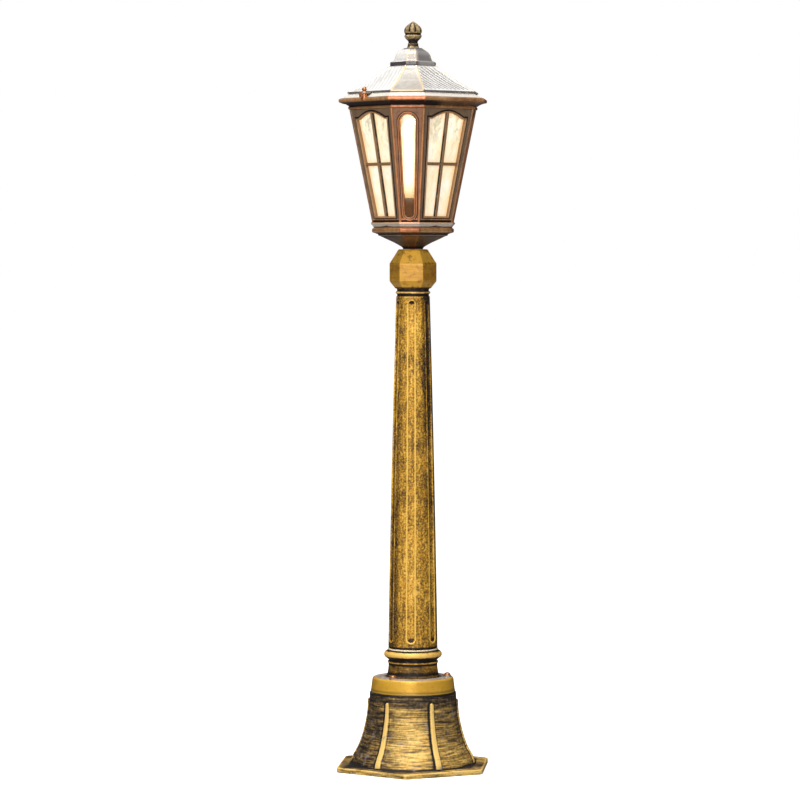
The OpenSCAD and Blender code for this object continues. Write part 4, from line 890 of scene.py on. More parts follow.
v, f, a, _ = revolve([(760.52, 18), (760.52, 25.6), (764.3, 25.6), (764.9, 27.0), (765.6, 27.7), (767.2, 27.8), (768.2, 27.1), (768.8, 25.6), (771.6, 25.6), (772.2, 26.3), (772.98, 26.3), (772.98, 5.35), (768.5, 5.35), (768.5, 18)],
                     144, sigma=0.8, cut=0.3, step=1.2)
z = v[:, 2]
a["dark"] = np.maximum(1.25 * np.exp(-((z - 762.4) / 1.7) ** 2), 1.25 * np.exp(-((z - 770.3) / 1.4) ** 2))
a["wear"] = 0.30 * np.exp(-((z - 766.6) / 1.3) ** 2)
# pale cream round the bead: a painted highlight
a["cover"] = 1.14 * np.exp(-((z - 766.6) / 1.1) ** 4)
object_from("neck_ring_turned", [(v, f, a)], [M["collar"]], "post", ["neck_ring"])


def make_capital():
    lv = [(773.02, 9), (773.02, 28.4), (774.2, 29.6), (783.6, 37.2), (785.2, 38.0), (812.8, 38.0), (814.2, 37.3), (834.6, 24.4), (835.9, 22.8), (835.9, 9)]
    P = soften(lv, 0.6, 2.5, True)
    pw, pd = edge_signal(P, True, 1.1)
    V, W, D, C = [], [], [], []
    for i, (z, r) in enumerate(P):
        ring, cw = section_polygon([(r * math.cos(60 * k * RAD), r * math.sin(60 * k * RAD)) for k in range(6)], 1.0, inner=8, edge=1.0)
        V.append(np.column_stack([ring, np.full(len(ring), z)]))
        low = float(smoothstep(784.2 - z, 0.0, 1.6))
        w = np.maximum(pw[i], cw * 0.35) * (1 - low) + 1.0 * low
        # the upper chamfer is made pale: a painted highlight where the light falls on it
        if 814 < z < 834:
            w = np.maximum(w, 1.6)
        W.append(w)
        D.append(np.full(len(ring), max(0.35 * float(np.exp(-((z - 813.4) / 0.8) ** 2)), 0.9 * float(z < 774.4))))
        C.append(np.zeros(len(ring)))
    F = grid_faces(len(P), len(V[0]), True, True)
    object_from("capital_block", [(np.concatenate(V), F, {"wear": np.concatenate(W), "dark": np.concatenate(D), "cover": np.concatenate(C)})],
                [M["capital"]], "post", ["capital"])


make_capital()

# ================================================================ bowl and rail
z = Z_BOWL
outer = [[z + 0.02, 15.8, 4], [z + 2.5, 16.4, 4.2], [z + 4.5, 19, 4.7], [z + 10.5, 29.5, 7.2], [z + 16.5, 42.5, 10.4], [z + 20.4, 50.4, 12.4], [z + 21.0, 51.5, 12.6],
         [z + 21.6, 54.4, 13.3], [z + 24.0, 55.4, 13.5], [z + 24.6, 57.0, 13.9], [z + 26.0, 60.8, 14.8], [z + 26.8, 63.6, 15.5], [z + 27.6, 64.5, 15.7], [z + 31.4, 64.7, 15.7], [z + 32.4, 64.1, 15.6], [z + 33.96, 62.6, 15.3]]
inner = [[z + 33.96, 54.5, 13.3], [z + 27, 54.5, 13.3], [z + 21.5, 45, 11], [z + 15.5, 32, 7.8], [z + 9, 18, 4.6], [z + 9, 7, 2.9], [z + 0.02, 7, 2.9]]
v, f, a, _ = oct_loft(outer + inner, rc=1.0, cut=0.5, step=3.5, sigma=1.1, corner_gain=0.75)
zz, rr = v[:, 2], np.hypot(v[:, 0], v[:, 1])
out = rr > 0
a["wear"] = np.clip(a["wear"], 0, 1) * (zz > z + 1)
a["wear"] = np.maximum(a["wear"] * np.where(zz < z + 18, 0.55, 1.0), 0.9 * np.exp(-((zz - (z + 30)) / 1.6) ** 2) + 0.8 * np.exp(-((zz - (z + 22.8)) / 1.1) ** 2))
a["dark"] = np.maximum(a["dark"], 0.55 * np.exp(-((zz - (z + 25.4)) / 1.0) ** 2))
object_from("lantern_bowl_casting", [(v, f, a)], [M["bowl"]], "post", ["lantern_bowl"])

z = Z_RIM
outer = [[z + 0.02, 61.6, 15.0], [z + 1.6, 62.2, 15.2], [z + 4.8, 64.6, 15.8], [z + 6.2, 66.3, 16.2], [z + 8.4, 66.4, 16.2], [z + 9.2, 64.6, 15.8], [z + 9.6, 63.5, 15.4], [z + 13.98, 64.4, 15.65]]
v, f, a, _ = oct_loft(outer + [[z + 13.98, 50.5, 12.2], [z + 0.02, 50.5, 12.2]], rc=0.9, cut=0.5, step=3.0, sigma=0.9, corner_gain=0.6)
zz = v[:, 2]
# pale silver band on the rail's slope: a painted reflection of the bright surround
pale = smoothstep(zz, z + 1.0, z + 3.0) * (1 - smoothstep(zz, z + 7.2, z + 8.6)) * (np.hypot(v[:, 0], v[:, 1]) > 56)
a["cover"] = 0.88 * pale
a["wear"] = np.maximum(a["wear"], 0.8 * pale)
object_from("lower_rail_casting", [(v, f, a)], [M["rail"]], "post", ["lower_rail"])

# ================================================================ side panels
RT2 = math.sqrt(2)


def v_n(z):
    return (z - Z_REF) / math.cos(LEAN_N)


def v_w(z):
    return (z - Z_REF) / math.cos(LEAN_W)


def on_narrow(P, k):
    P = np.asarray(P, float)
    l = LEAN_N
    y = -DN0 - P[:, 1] * math.sin(l) - P[:, 2] * math.cos(l)
    z = Z_REF + P[:, 1] * math.cos(l) - P[:, 2] * math.sin(l)
    return turned(np.column_stack([P[:, 0], y, z]), 90 * k)


def on_wide(P, k):
    P = np.asarray(P, float)
    l = LEAN_W
    y = -(DN0 + WN0) / RT2 - P[:, 1] * math.sin(l) - P[:, 2] * math.cos(l)
    z = Z_REF + P[:, 1] * math.cos(l) - P[:, 2] * math.sin(l)
    return turned(np.column_stack([P[:, 0], y, z]), 90 * k + 45)


def outline_normals(O):
    """Outward unit offsets, mitred, of a closed anticlockwise outline."""
    a, b = np.roll(O, 1, 0), np.roll(O, -1, 0)
    d1, d2 = O - a, b - O
    d1 /= np.linalg.norm(d1, axis=1)[:, None]
    d2 /= np.linalg.norm(d2, axis=1)[:, None]
    n1, n2 = np.column_stack([d1[:, 1], -d1[:, 0]]), np.column_stack([d2[:, 1], -d2[:, 0]])
    m = n1 + n2
    m /= np.linalg.norm(m, axis=1)[:, None]
    c = np.clip((m * n1).sum(1), 0.6, 1)
    return m / c[:, None]


def strip(O, section, wear, dark, grow=None):
    """Moulding round an outline. section is [(offset outward, height)], from the inner foot to the outer foot."""
    N = outline_normals(O)
    n = len(O)
    V, W, D = [], [], []
    for (o, h), w, d in zip(section, wear, dark):
        V.append(np.column_stack([O + N * o, np.full(n, h)]))
        W.append(np.full(n, w))
        D.append(np.full(n, d))
    return np.concatenate(V), grid_faces(len(section), n, False, True, flip=True), {"wear": np.concatenate(W), "dark": np.concatenate(D)}


def fill(outer, inner, h, up=True, wear=0.0, dark=0.0):
    """Flat face between two outlines."""
    loops = [[Vector((*p, 0)) for p in outer], [Vector((*p, 0)) for p in inner][::-1]]
    tris = tessellate_polygon(loops)
    P = np.concatenate([outer, inner[::-1]])
    V = np.column_stack([P, np.full(len(P), h)])
    F = []
    for t in tris:
        a, b, c = (P[i] for i in t)
        ccw = (b[0] - a[0]) * (c[1] - a[1]) - (b[1] - a[1]) * (c[0] - a[0]) > 0
        F.append(tuple(t) if ccw == up else tuple(reversed(t)))
    return V, F, {"wear": wear, "dark": dark}


def plate_rim(outer, h0, h1):
    """Side wall of a plate."""
    n = len(outer)
    V = np.concatenate([np.column_stack([outer, np.full(n, h0)]), np.column_stack([outer, np.full(n, h1)])])
    return V, grid_faces(2, n, False, True), {"dark": 0.1}


def dense(poly, step):
    """Closed outline with points no more than step apart."""
    out = []
    n = len(poly)
    for i in range(n):
        a, b = np.asarray(poly[i], float), np.asarray(poly[(i + 1) % n], float)
        k = max(1, int(np.ceil(np.linalg.norm(b - a) / step)))
        out += [a + (b - a) * j / k for j in range(k)]
    return np.array(out)


def stadium(r0, v0, r1, v1, n=18):
    a = math.asin((r1 - r0) / (v1 - v0))
    top = [(r1 * math.cos(t), v1 + r1 * math.sin(t)) for t in np.linspace(-a, math.pi + a, n)]
    bot = [(r0 * math.cos(t), v0 + r0 * math.sin(t)) for t in np.linspace(math.pi + a, 2 * math.pi - a, n)]
    return np.array(top + bot)


def welded(parts):
    """Parts of one casting with equal points joined."""
    V, F, A, base = [], [], {"wear": [], "dark": [], "cover": []}, 0
    for p in parts:
        v = np.asarray(p[0], float)
        V.append(v)
        F += [tuple(i + base for i in q) for q in p[1]]
        for n in A:
            A[n].append(np.broadcast_to(np.asarray(p[2].get(n, 0.0), float), (len(v),)))
        base += len(v)
    V = np.concatenate(V)
    key = np.round(V, 3)
    _, first, inv = np.unique(key, axis=0, return_index=True, return_inverse=True)
    inv = inv.reshape(-1)
    out = {}
    for n in A:
        x = np.concatenate(A[n])
        y = np.zeros(len(first))
        np.maximum.at(y, inv, x)
        out[n] = y
    G = []
    for q in F:
        r = []
        for i in q:
            j = int(inv[i])
            if not r or (r[-1] != j):
                r.append(j)
        if len(r) > 1 and r[0] == r[-1]:
            r.pop()
        if len(set(r)) >= 3 and len(set(r)) == len(r):
            G.append(tuple(r))
    return V[first], G, out


PT = 4.0   # thickness of the cast panels


def narrow_parts():
    hole = dense(stadium(7.2, 5.0, 12.0, v_n(1036.0), 26), 5.0)
    zb, zt = 877.8, 1058.4
    vb, vt = v_n(zb), v_n(zt)
    outer = dense([(-wn_at(zb), vb), (wn_at(zb), vb), (wn_at(zt), vt), (-wn_at(zt), vt)], 6.0)
    ring_in = outline_normals(hole)
    sec = [(0.0, -PT), (0.0, 0.3), (0.35, 1.0), (1.0, 1.35), (1.7, 1.25), (2.1, 0.9), (2.5, 0.9), (3.0, 1.4), (3.7, 1.75), (4.4, 1.6), (4.9, 1.0), (5.05, 0.2), (5.15, 0.0)]
    wear = [0.35, 0.45, 0.8, 0.9, 0.6, 0.05, 0.05, 0.6, 1.0, 0.8, 0.3, 0.0, 0.0]
    dark = [0.0, 0.0, 0.0, 0.0, 0.0, 0.45, 0.45, 0.0, 0.0, 0.0, 0.3, 1.0, 1.0]
    parts = [strip(hole, sec, wear, dark)]
    o1 = hole + ring_in * 5.15
    o2 = hole + ring_in * 6.1
    n = len(hole)
    V = np.concatenate([np.column_stack([o1, np.zeros(n)]), np.column_stack([o2, np.zeros(n)])])
    parts.append((V, grid_faces(2, n, False, True, flip=True), {"dark": np.concatenate([np.ones(n), np.full(n, 0.1)])}))
    parts.append(fill(outer, o2, 0.0, True, 0.0, 0.1))
    parts.append(fill(outer, hole, -PT, False, 0.0, 0.2))
    parts.append(plate_rim(outer, -PT, 0.0))
    return welded(parts)


def corner_bar(s, r=2.0):
    """Bead down one corner of the cage."""
    zs = np.linspace(877.6, 1058.4, 22)
    P = np.column_stack([s * (wn_at(zs) - 0.25), -(dn_at(zs) - 0.55), zs])
    v, f, a = tube(P, r, 16, wear=0.95)
    # the bead's two sides hold dark paint
    c = np.repeat(P, 16, axis=0)
    out = (v - c)[:, 1] < -0.55 * r
    a = {"wear": np.where(out, 0.95, 0.3), "dark": np.where(out, 0.0, 0.35)}
    return v, f, a


nv, nf, na = narrow_parts()
parts = []
for k in range(4):
    parts.append((on_narrow(nv, k), nf, na))
    for s in (-1, 1):
        v, f, a = corner_bar(s)
        parts.append((turned(v, 90 * k), f, a))
object_from("narrow_panels", parts, [M["frames"]], "post", ["narrow_frames"])

WIN_B, WIN_K = 24.2, 0.082
WIN_S = v_w(Z_REF + 153.5)
WIN_RISE = 10.5


def arch(o, n=34):
    """Shouldered arch of a wide window; o is not used."""
    top_w = WIN_B + WIN_K * WIN_S
    U = top_w - 4.8
    pts = [(-WIN_B, 0.0), (WIN_B, 0.0), (top_w, WIN_S)]
    for i in range(n + 1):
        x = U * math.cos(math.pi * i / n)
        s = 1 - abs(x / U)
        pts.append((x, WIN_S + WIN_RISE * (s * s * (3 - 2 * s)) ** 0.5))
    pts.append((-top_w, WIN_S))
    return np.array(pts)


def half_bar(p, q, w, h, base, wear=0.75, n=9):
    """Glazing bar from p to q in the panel's plane, rounded in front."""
    p, q = np.asarray(p, float), np.asarray(q, float)
    d = (q - p) / np.linalg.norm(q - p)
    s = np.array([d[1], -d[0]])
    prof = [(-w / 2, base)] + [(-w / 2 * math.cos(t), h * math.sin(t) ** 0.8) for t in np.linspace(0, math.pi, n)] + [(w / 2, base)]
    m = len(prof)
    steps = max(2, int(np.linalg.norm(q - p) / 8))
    V = []
    for i in range(steps + 1):
        c = p + (q - p) * i / steps
        V += [(c[0] + s[0] * a, c[1] + s[1] * a, b) for a, b in prof]
    F = grid_faces(steps + 1, m, False, True, flip=True)
    F.append(tuple(range(m)))
    F.append(tuple(reversed(range(steps * m, steps * m + m))))
    w_ = np.tile([0.0] + [0.3 + 0.6 * math.sin(t) for t in np.linspace(0, math.pi, n)] + [0.0], steps + 1) * wear / 0.9
    d_ = np.tile([0.5] + [0.5 * (1 - math.sin(t)) for t in np.linspace(0, math.pi, n)] + [0.5], steps + 1)
    return np.array(V), F, {"wear": w_, "dark": d_}


def wide_parts():
    base = arch(0)
    hole = dense(base, 4.0)
    zb, zt = 877.8, 1058.4
    vb, vt = v_w(zb), v_w(zt)
    hb = (DN0 - WN0) / RT2
    hk = (DN_K - WN_K) / RT2
    hw = lambda z: hb + hk * (z - Z_REF) - 1.0
    outer = dense([(-hw(zb), vb), (hw(zb), vb), (hw(zt), vt), (-hw(zt), vt)], 8.0)
    N = outline_normals(hole)
    sec = [(0.0, -PT), (0.0, 0.6), (0.3, 1.3), (0.9, 1.75), (1.7, 1.8), (2.5, 1.5), (3.0, 0.8), (3.15, 0.15), (3.25, 0.0)]
    wear = [0.4, 0.55, 0.95, 1.0, 0.9, 0.5, 0.1, 0.0, 0.0]
    dark = [0.0, 0.0, 0.0, 0.0, 0.0, 0.1, 0.6, 1.0, 1.0]
    parts = [strip(hole, sec, wear, dark)]
    n = len(hole)
    o1, o2 = hole + N * 3.25, hole + N * 4.6
    V = np.concatenate([np.column_stack([o1, np.zeros(n)]), np.column_stack([o2, np.zeros(n)])])
    # dark band round the window above its shoulders: a painted shadow under the head of the frame
    up = hole[:, 1] > WIN_S - 1
    parts.append((V, grid_faces(2, n, False, True, flip=True), {"dark": np.concatenate([np.ones(n), np.where(up, 1.0, 0.15)])}))
    o3 = hole + N * 5.5
    V = np.concatenate([np.column_stack([o2, np.zeros(n)]), np.column_stack([o3, np.zeros(n)])])
    parts.append((V, grid_faces(2, n, False, True, flip=True), {"dark": np.concatenate([np.where(up, 1.0, 0.15), np.full(n, 0.06)])}))
    parts.append(fill(outer, o3, 0.0, True, 0.0, 0.06))
    parts.append(fill(outer, hole, -PT, False, 0.0, 0.2))
    parts.append(plate_rim(outer, -PT, 0.0))
    body = welded(parts)
    bars = [half_bar((0, -2.0), (0, WIN_S + WIN_RISE + 1.2), 4.6, 0.9, -PT + 0.1)]
    vb_ = v_w(Z_REF + 80.5) + 2.3
    x = WIN_B + WIN_K * 84 + 1.2
    bars.append(half_bar((-x, vb_), (x, vb_), 4.4, 0.7, -PT + 0.1, wear=0.45))
    return [body] + bars


wp = wide_parts()
parts = []
for k in range(4):
    for v, f, a in wp:
        parts.append((on_wide(v, k), f, a))
object_from("wide_panels", parts, [M["frames"]], "post", ["wide_frames"])


def pane(outline, thick, rows, cols, wave=0.35, seed=0.0):
    """Sheet of water glass between a straight foot and head, its faces softly uneven."""
    (b0, v0), (b1, v1) = outline
    V = []
    for side in (0, 1):
        for i in range(rows + 1):
            t = i / rows
            hw = b0 + (b1 - b0) * t
            y = v0 + (v1 - v0) * t
            for j in range(cols + 1):
                x = -hw + 2 * hw * j / cols
                rim = min(1.0, 6 * min(t, 1 - t)) * min(1.0, 6 * min(j / cols, 1 - j / cols))
                dz = wave * rim * (math.sin(0.33 * x + 0.21 * y + seed) * math.sin(0.27 * y - 0.19 * x + 1.3 + seed) + 0.5 * math.sin(0.61 * x - 0.47 * y + 2.1 * seed))
                V.append((x, y, -PT - (thick if side == 0 else 0.02) + (dz * 0.6 if side == 0 else min(0.0, dz - wave * 1.2 * rim))))
    n = (rows + 1) * (cols + 1)
    F = []
    w = cols + 1
    for i in range(rows):
        for j in range(cols):
            q = (i * w + j, i * w + j + 1, (i + 1) * w + j + 1, (i + 1) * w + j)
            F.append(q[::-1])
            F.append(tuple(n + a for a in q))
    rim = [j for j in range(w)] + [i * w + cols for i in range(1, rows + 1)] + [rows * w + j for j in range(cols - 1, -1, -1)] + [i * w for i in range(rows - 1, 0, -1)]
    for a, b in zip(rim, rim[1:] + rim[:1]):
        F.append((a, b, n + b, n + a))
    return np.array(V), F, {}


parts = []
for k in range(4):
    v, f, a = pane(((10.4, -2.8), (19.0, v_n(Z_HEAD) - 3.5)), 2.5, 60, 22, 0.25, seed=1.7 * k)
    half = 7.2 + (12.0 - 7.2) * np.clip((v[:, 1] - 5.0) / v_n(1036.0), 0, 1)
    # painted glow: along the slot's sides, and stronger down the middle where the bulb stands behind the glass
    a = {"wear": smoothstep(np.abs(v[:, 0]) - half, -4.2, -0.6), "cover": np.exp(-(v[:, 0] / 6.0) ** 4) * smoothstep(v[:, 1], 48, 62) * (1 - smoothstep(v[:, 1], 150, 172))}
    parts.append((on_narrow(v, k), f, a))
object_from("narrow_panes", parts, [M["glass_narrow"]], "post", ["narrow_glass"])
parts = []
for k in range(4):
    v, f, a = pane(((28.4, -2.8), (43.0, v_w(Z_HEAD) - 3.5)), 2.5, 70, 44, 0.35, seed=2.3 * k + 0.6)
    # painted glow along the pane's edges next to the frame, the bars and the arch
    edge = WIN_B + WIN_K * v[:, 1] - np.abs(v[:, 0])
    near = np.minimum(np.minimum(edge, np.abs(v[:, 0])), np.minimum(v[:, 1] + 1.0, np.abs(v[:, 1] - v_w(Z_REF + 80.5) - 2.3)))
    near = np.minimum(near, WIN_S + WIN_RISE * np.clip(1 - (np.abs(v[:, 0]) / (WIN_B + WIN_K * WIN_S)) ** 2, 0, 1) - v[:, 1])
    a = {"wear": 0.9 * np.exp(-(np.clip(near, 0, 99) / 3.6) ** 2)}
    parts.append((on_wide(v, k), f, a))
object_from("wide_panes", parts, [M["glass_wide"]], "post", ["wide_glass"])

# ================================================================ cornice
z = Z_HEAD
outer = [[z + 0.02, 100.2, 26.3], [z + 0.9, 101.7, 26.7], [z + 4.4, 101.7, 26.7], [z + 5.0, 100.6, 26.4], [z + 5.8, 100.6, 26.4], [z + 6.4, 102.4, 26.8], [z + 8.0, 104.6, 27.3], [z + 9.8, 108.6, 28.0],
         [z + 11.0, 112.4, 28.8], [z + 11.5, 115.8, 29.4], [z + 12.5, 116.8, 29.6], [z + 16.0, 116.85, 29.6], [z + 17.0, 115.6, 29.3], [z + 19, 110, 28.3], [z + 22.5, 103.5, 27.0], [Z_SEAT, 100.8, 26.4]]
inner = [[Z_SEAT, 88.6, 22.9], [z + 0.02, 88.6, 22.9]]
v, f, a, _ = oct_loft(outer + inner, rc=1.2, cut=0.6, step=3.5, sigma=1.0, side=(4, 10), corner_gain=0.85)
zz = v[:, 2]
far = np.hypot(v[:, 0], v[:, 1])
face = np.maximum(np.abs(v[:, 0]), np.abs(v[:, 1]))
a["wear"] = np.maximum(a["wear"] * 0.8, 0.95 * np.exp(-((zz - (z + 14.3)) / 2.2) ** 4) * (face > 80))
a["wear"] = np.maximum(a["wear"], 0.45 * np.exp(-((zz - (z + 2.6)) / 1.8) ** 4))
a["dark"] = np.maximum(a["dark"] * 0.7, 0.95 * np.exp(-((zz - (z + 7.6)) / 2.3) ** 2))
# the right side is lighter, with more copper and less dark: painted light
lit = smoothstep(np.degrees(np.arctan2(v[:, 0], -v[:, 1])), 18, 40)
a["wear"] = np.maximum(a["wear"], 0.75 * lit * (zz < z + 12))
a["dark"] = a["dark"] * (1 - 0.6 * lit)
# the top is pale silver: a painted reflection of the bright surround
top = smoothstep(zz, z + 17.6, z + 19.0)
a["cover"] = 1.5 * top
a["dark"] = a["dark"] * (1 - top)
object_from("cornice_casting", [(v, f, a)], [M["bronze"]], "post", ["cornice"])

# ================================================================ roof
roof_out = [[2.9, 100.8, 26.05], [7.6, 91.2, 23.6], [16.8, 74.8, 19.2], [23.9, 63.8, 16.2], [30.4, 54.2, 13.6], [36.4, 46.4, 11.3], [40.6, 40.6, 9.6], [44, 37.6, 8.8]]
roof_in = [[-0.0, 98.2, 25.4], [5, 89.2, 23], [14.2, 72.6, 18.5], [21.3, 61.4, 15.4], [27.8, 51.8, 12.9], [33.9, 43.8, 10.6], [38, 37.4, 8.8], [40.6, 35, 8.2]]


def make_roof():
    slope = smooth_curve(roof_out, 11)
    low = [np.array(p, float) for p in ([0.02, 98.2, 25.4], [0.02, 102.2, 26.45], [0.5, 102.75, 26.6], [1.7, 102.8, 26.6], [2.3, 102.3, 26.45], [2.7, 101.4, 26.2])]
    path = low + [p for p in slope] + [np.array([44.0, 20.4, 8.3])] + [np.array([40.6, 20.4, 8.3])] + [np.array(p, float) for p in roof_in[::-1][:-1]]
    V, W, D, C = [], [], [], []
    NW, NN = 104, 16
    for i, (z, d, w) in enumerate(path):
        on = 6 <= i < 6 + len(slope)
        t = (z - 2.9) / 41.1
        for k in range(4):
            # narrow face, then the wide face on its right
            a0, a1 = np.array([-w, -d]), np.array([w, -d])
            b1 = np.array([d, -w])
            for (p, q, n, wide) in ((a0, a1, NN, False), (a1, b1, NW, True)):
                L = np.linalg.norm(q - p)
                s = np.arange(n) / n
                dist = np.minimum(s * L, (1 - s) * L)
                nrm = np.array([(q - p)[1], -(q - p)[0]]) / L
                pts = p[None, :] + (q - p)[None, :] * s[:, None]
                ridge = np.exp(-(dist / 1.5) ** 2)
                h = np.zeros(n)
                dk = np.zeros(n)
                if on and wide:
                    # slating: ribs that run parallel to the face's right ridge, and faint courses across it
                    qd = (1 - s) * L
                    ph = (qd / 8.4) % 1.0
                    saw = np.where(ph < 0.72, ph / 0.72, (1 - ph) / 0.28)
                    lat = (s * L / 8.4) % 1.0
                    groove = np.exp(-((np.minimum(ph, 1 - ph)) / 0.21) ** 2)
                    cross = np.exp(-((np.minimum(lat, 1 - lat)) / 0.10) ** 2) * 0.16
                    edge = smoothstep(dist, 1.6, 3.2) * smoothstep(t, 0.03, 0.07) * (1 - smoothstep(t, 0.93, 0.98))
                    # the slating is faintest on the front-left face: painted glare where the light falls full on it
                    gain = {0: 1.0, 3: 0.28}.get(k, 0.85)
                    h = (0.75 * saw - 0.5 * cross) * edge * min(gain, 1.0)
                    dk = np.maximum(groove * 0.95, cross * 0.6) * edge * gain
                h = h + 0.9 * ridge * (1.0 if on else 0.3)
                if on or i < 6:
                    pts = pts + nrm[None, :] * h[:, None]
                    zz = z + (0.55 * h if on else 0 * h)
                else:
                    zz = z + 0 * h
                wr = ridge * (0.95 if on else 0.5)
                if i in (1, 2, 3, 4) and not wide:
                    wr = np.maximum(wr, 0.55)
                # near-black on the rim of the wide faces and on the roof's inside: painted shade
                cv = np.full(n, 0.0)
                if i in (1, 2, 3, 4, 5):
                    cv = np.full(n, 0.15 if not wide else 0.85)
                if not on and i > 6:
                    cv = np.full(n, 0.9)
                if on and t > 0.93:
                    dk = np.maximum(dk, 0.5 * float(smoothstep(t, 0.93, 1.0)))
                P = np.column_stack([pts, np.broadcast_to(zz, (n,)) + Z_ROOF])
                V.append(turned(P, 90 * k))
                W.append(wr)
                D.append(dk)
                C.append(cv)
    m = 4 * (NN + NW)
    F = grid_faces(len(path), m, True, True)
    parts = [(np.concatenate(V), F, {"wear": np.concatenate(W), "dark": np.concatenate(D), "cover": np.concatenate(C)}, 0)]
    # ear of the thumb screw, with its turned-down lip
    zr = Z_ROOF
    ear = [block((-7, -94.6, zr + 0.1), (7, -90.0, zr + 2.2), 0.5, 0.7), block((-7, -101.0, zr - 2.0), (7, -92.4, zr + 0.0), 0.5, 0.7),
           block((-7, -94.8, zr - 2.0), (7, -92.6, zr + 2.0), 0.5, 0.7)]
    v, f, a = cylinder((0, -100.5, zr - 2.0), 2, 7.0, 2.0, 48, 0.4, hole=2.45)
    ear.append((v, f, a))
    lip = [block((-3.5, -108.8, zr - 7.6), (3.5, -106.2, zr - 0.1), 0.8, 0.9), block((-3.4, -108.7, zr - 2.0), (3.4, -103.5, zr - 0.05), 0.6, 0.8)]
    for v, f, a in ear:
        parts.append((turned(v, -45), f, {"wear": np.asarray(a["wear"]) * 0.4, "cover": 0.2}, 1))
    for v, f, a in lip:
        parts.append((turned(v, -45), f, {"wear": 0.9, "cover": 0.2}, 2))
    # middle knuckle of the hinge and its arm
    v, f, a = cylinder((-8.9, -99.5, Z_ROOF + 3.4), 0, 3.3, 17.8, 40, 0.4, hole=1.64)
    parts.append((turned(v, 135), f, {"wear": np.asarray(a["wear"]) * 0.7}, 1))
    v, f, a = block((-8.9, -98.2, Z_ROOF + 0.25), (8.9, -89.2, Z_ROOF + 2.6), 0.5, 0.6)
    parts.append((turned(v, 135), f, a, 1))
    object_from("roof_lower_casting", parts, [M["roof"], M["bronze"], M["copper"]], "roof", ["roof_lower"], sharp=62)


make_roof()

z = Z_TIER
outer = [[z + 0.02, 35.0, 8.4], [z + 0.9, 36.1, 8.8], [z + 6.3, 36.1, 8.8], [z + 7.4, 34.2, 8.3], [z + 8.6, 31.2, 7.7], [z + 10.2, 29.8, 7.35], [z + 12.4, 28.8, 7.1], [z + 18.4, 27, 6.6],
         [z + 21.2, 25.5, 6.2], [z + 23.4, 23.4, 5.8], [z + 25.4, 20.6, 5.1], [z + 27, 18.0, 4.5], [z + 28.6, 15.2, 3.8], [z + 29.48, 13.6, 3.4]]
inner = [[z + 29.48, 4.0, 1.6], [z + 24, 4.0, 1.6], [z + 24, 15, 3.8], [z + 22.4, 19.6, 4.9], [z + 18, 23.6, 5.8], [z + 12, 25.6, 6.3], [z + 0.02, 26.4, 6.5]]
v, f, a, _ = oct_loft(outer + inner, rc=0.9, cut=0.5, step=2.2, sigma=0.9, side=(3, 6), corner_gain=1.0, wear_gain=0.6, edge=1.0)
zz = v[:, 2]
band = 1 - smoothstep(zz, z + 6.8, z + 7.6)
ridge = np.clip(a["wear"], 0, 1)
az = np.degrees(np.arctan2(v[:, 0], -v[:, 1]))
right = smoothstep(az, 12, 22) * (1 - smoothstep(az, 150, 170))
# near-black on the eave band and on the right faces: painted shade
a["cover"] = np.maximum(band * (0.97 - 0.35 * right), 0.78 * right * (zz > z + 7.2) * (1 - ridge * 0.8))
a["cover"] = np.maximum(a["cover"], 0.95 * np.exp(-((zz - (z + 28.6)) / 1.3) ** 2) * (np.hypot(v[:, 0], v[:, 1]) > 8))
a["wear"] = np.where(zz > z + 7.2, ridge * 0.8, ridge * 0.25)
object_from("roof_upper_casting", [(v, f, a)], [M["roof"]], "roof", ["roof_upper"])


def make_finial():
    z = Z_FIN
    path = [(z + 0.02, 0), (z + 0.02, 5), (z + 0.02, 9.4), (z + 1.2, 9.8), (z + 3, 8.9), (z + 5.5, 8.4), (z + 6.6, 8.6), (z + 8, 7.6), (z + 9.6, 7.3), (z + 11.4, 8.0), (z + 13.2, 10.0), (z + 15.2, 11.9),
            (z + 17.2, 13.1), (z + 18.8, 13.9), (z + 20.2, 14.0), (z + 20.9, 13.0), (z + 22, 12.4), (z + 23, 12.7), (z + 24, 13.7)]
    path += [(z + p, r) for p, r in [(26.2, 14.15), (29, 14.1), (31.6, 13.3), (34, 11.6), (36.6, 9.0), (39, 5.9), (41, 3.0), (42.2, 1.2), (42.45, 0)]]

    def lobes(Z, R, A):
        bud = smoothstep(Z, z + 23.2, z + 27) * (1 - smoothstep(Z, z + 38, z + 42))
        cup = smoothstep(Z, z + 11.5, z + 15) * (1 - smoothstep(Z, z + 18.2, z + 19.6))
        pinch = 1 - np.abs(np.cos(4 * A)) ** 0.6
        return R * (1 - 0.085 * bud * pinch ** 2 * 2.2) - cup * 0.45 * pinch

    v, f, a = capped(path, 128, cut=0.35, step=1.1, sigma=0.9, shape=lobes)
    zz = v[:, 2]
    ang = np.arctan2(v[:, 0], -v[:, 1])
    pinch = 1 - np.abs(np.cos(4 * ang)) ** 0.6
    bud = smoothstep(zz, z + 23.2, z + 27) * (1 - smoothstep(zz, z + 38, z + 42))
    a["dark"] = np.maximum(np.clip(a["dark"], 0, 1) * 0.9, 0.8 * bud * pinch ** 1.5)
    a["dark"] = np.maximum(a["dark"], 0.35 * smoothstep(zz, z + 8, z + 10) * (1 - smoothstep(zz, z + 13, z + 16)))
    a["wear"] = np.maximum(np.clip(a["wear"], 0, 1) * 0.6, 0.8 * np.exp(-((zz - (z + 20)) / 1.1) ** 2))
    a["cover"] = 0.35 * smoothstep(zz, z + 28, z + 40)
    object_from("acorn_finial", [(v, f, a)], [M["finial"]], "roof", ["finial"])


make_finial()

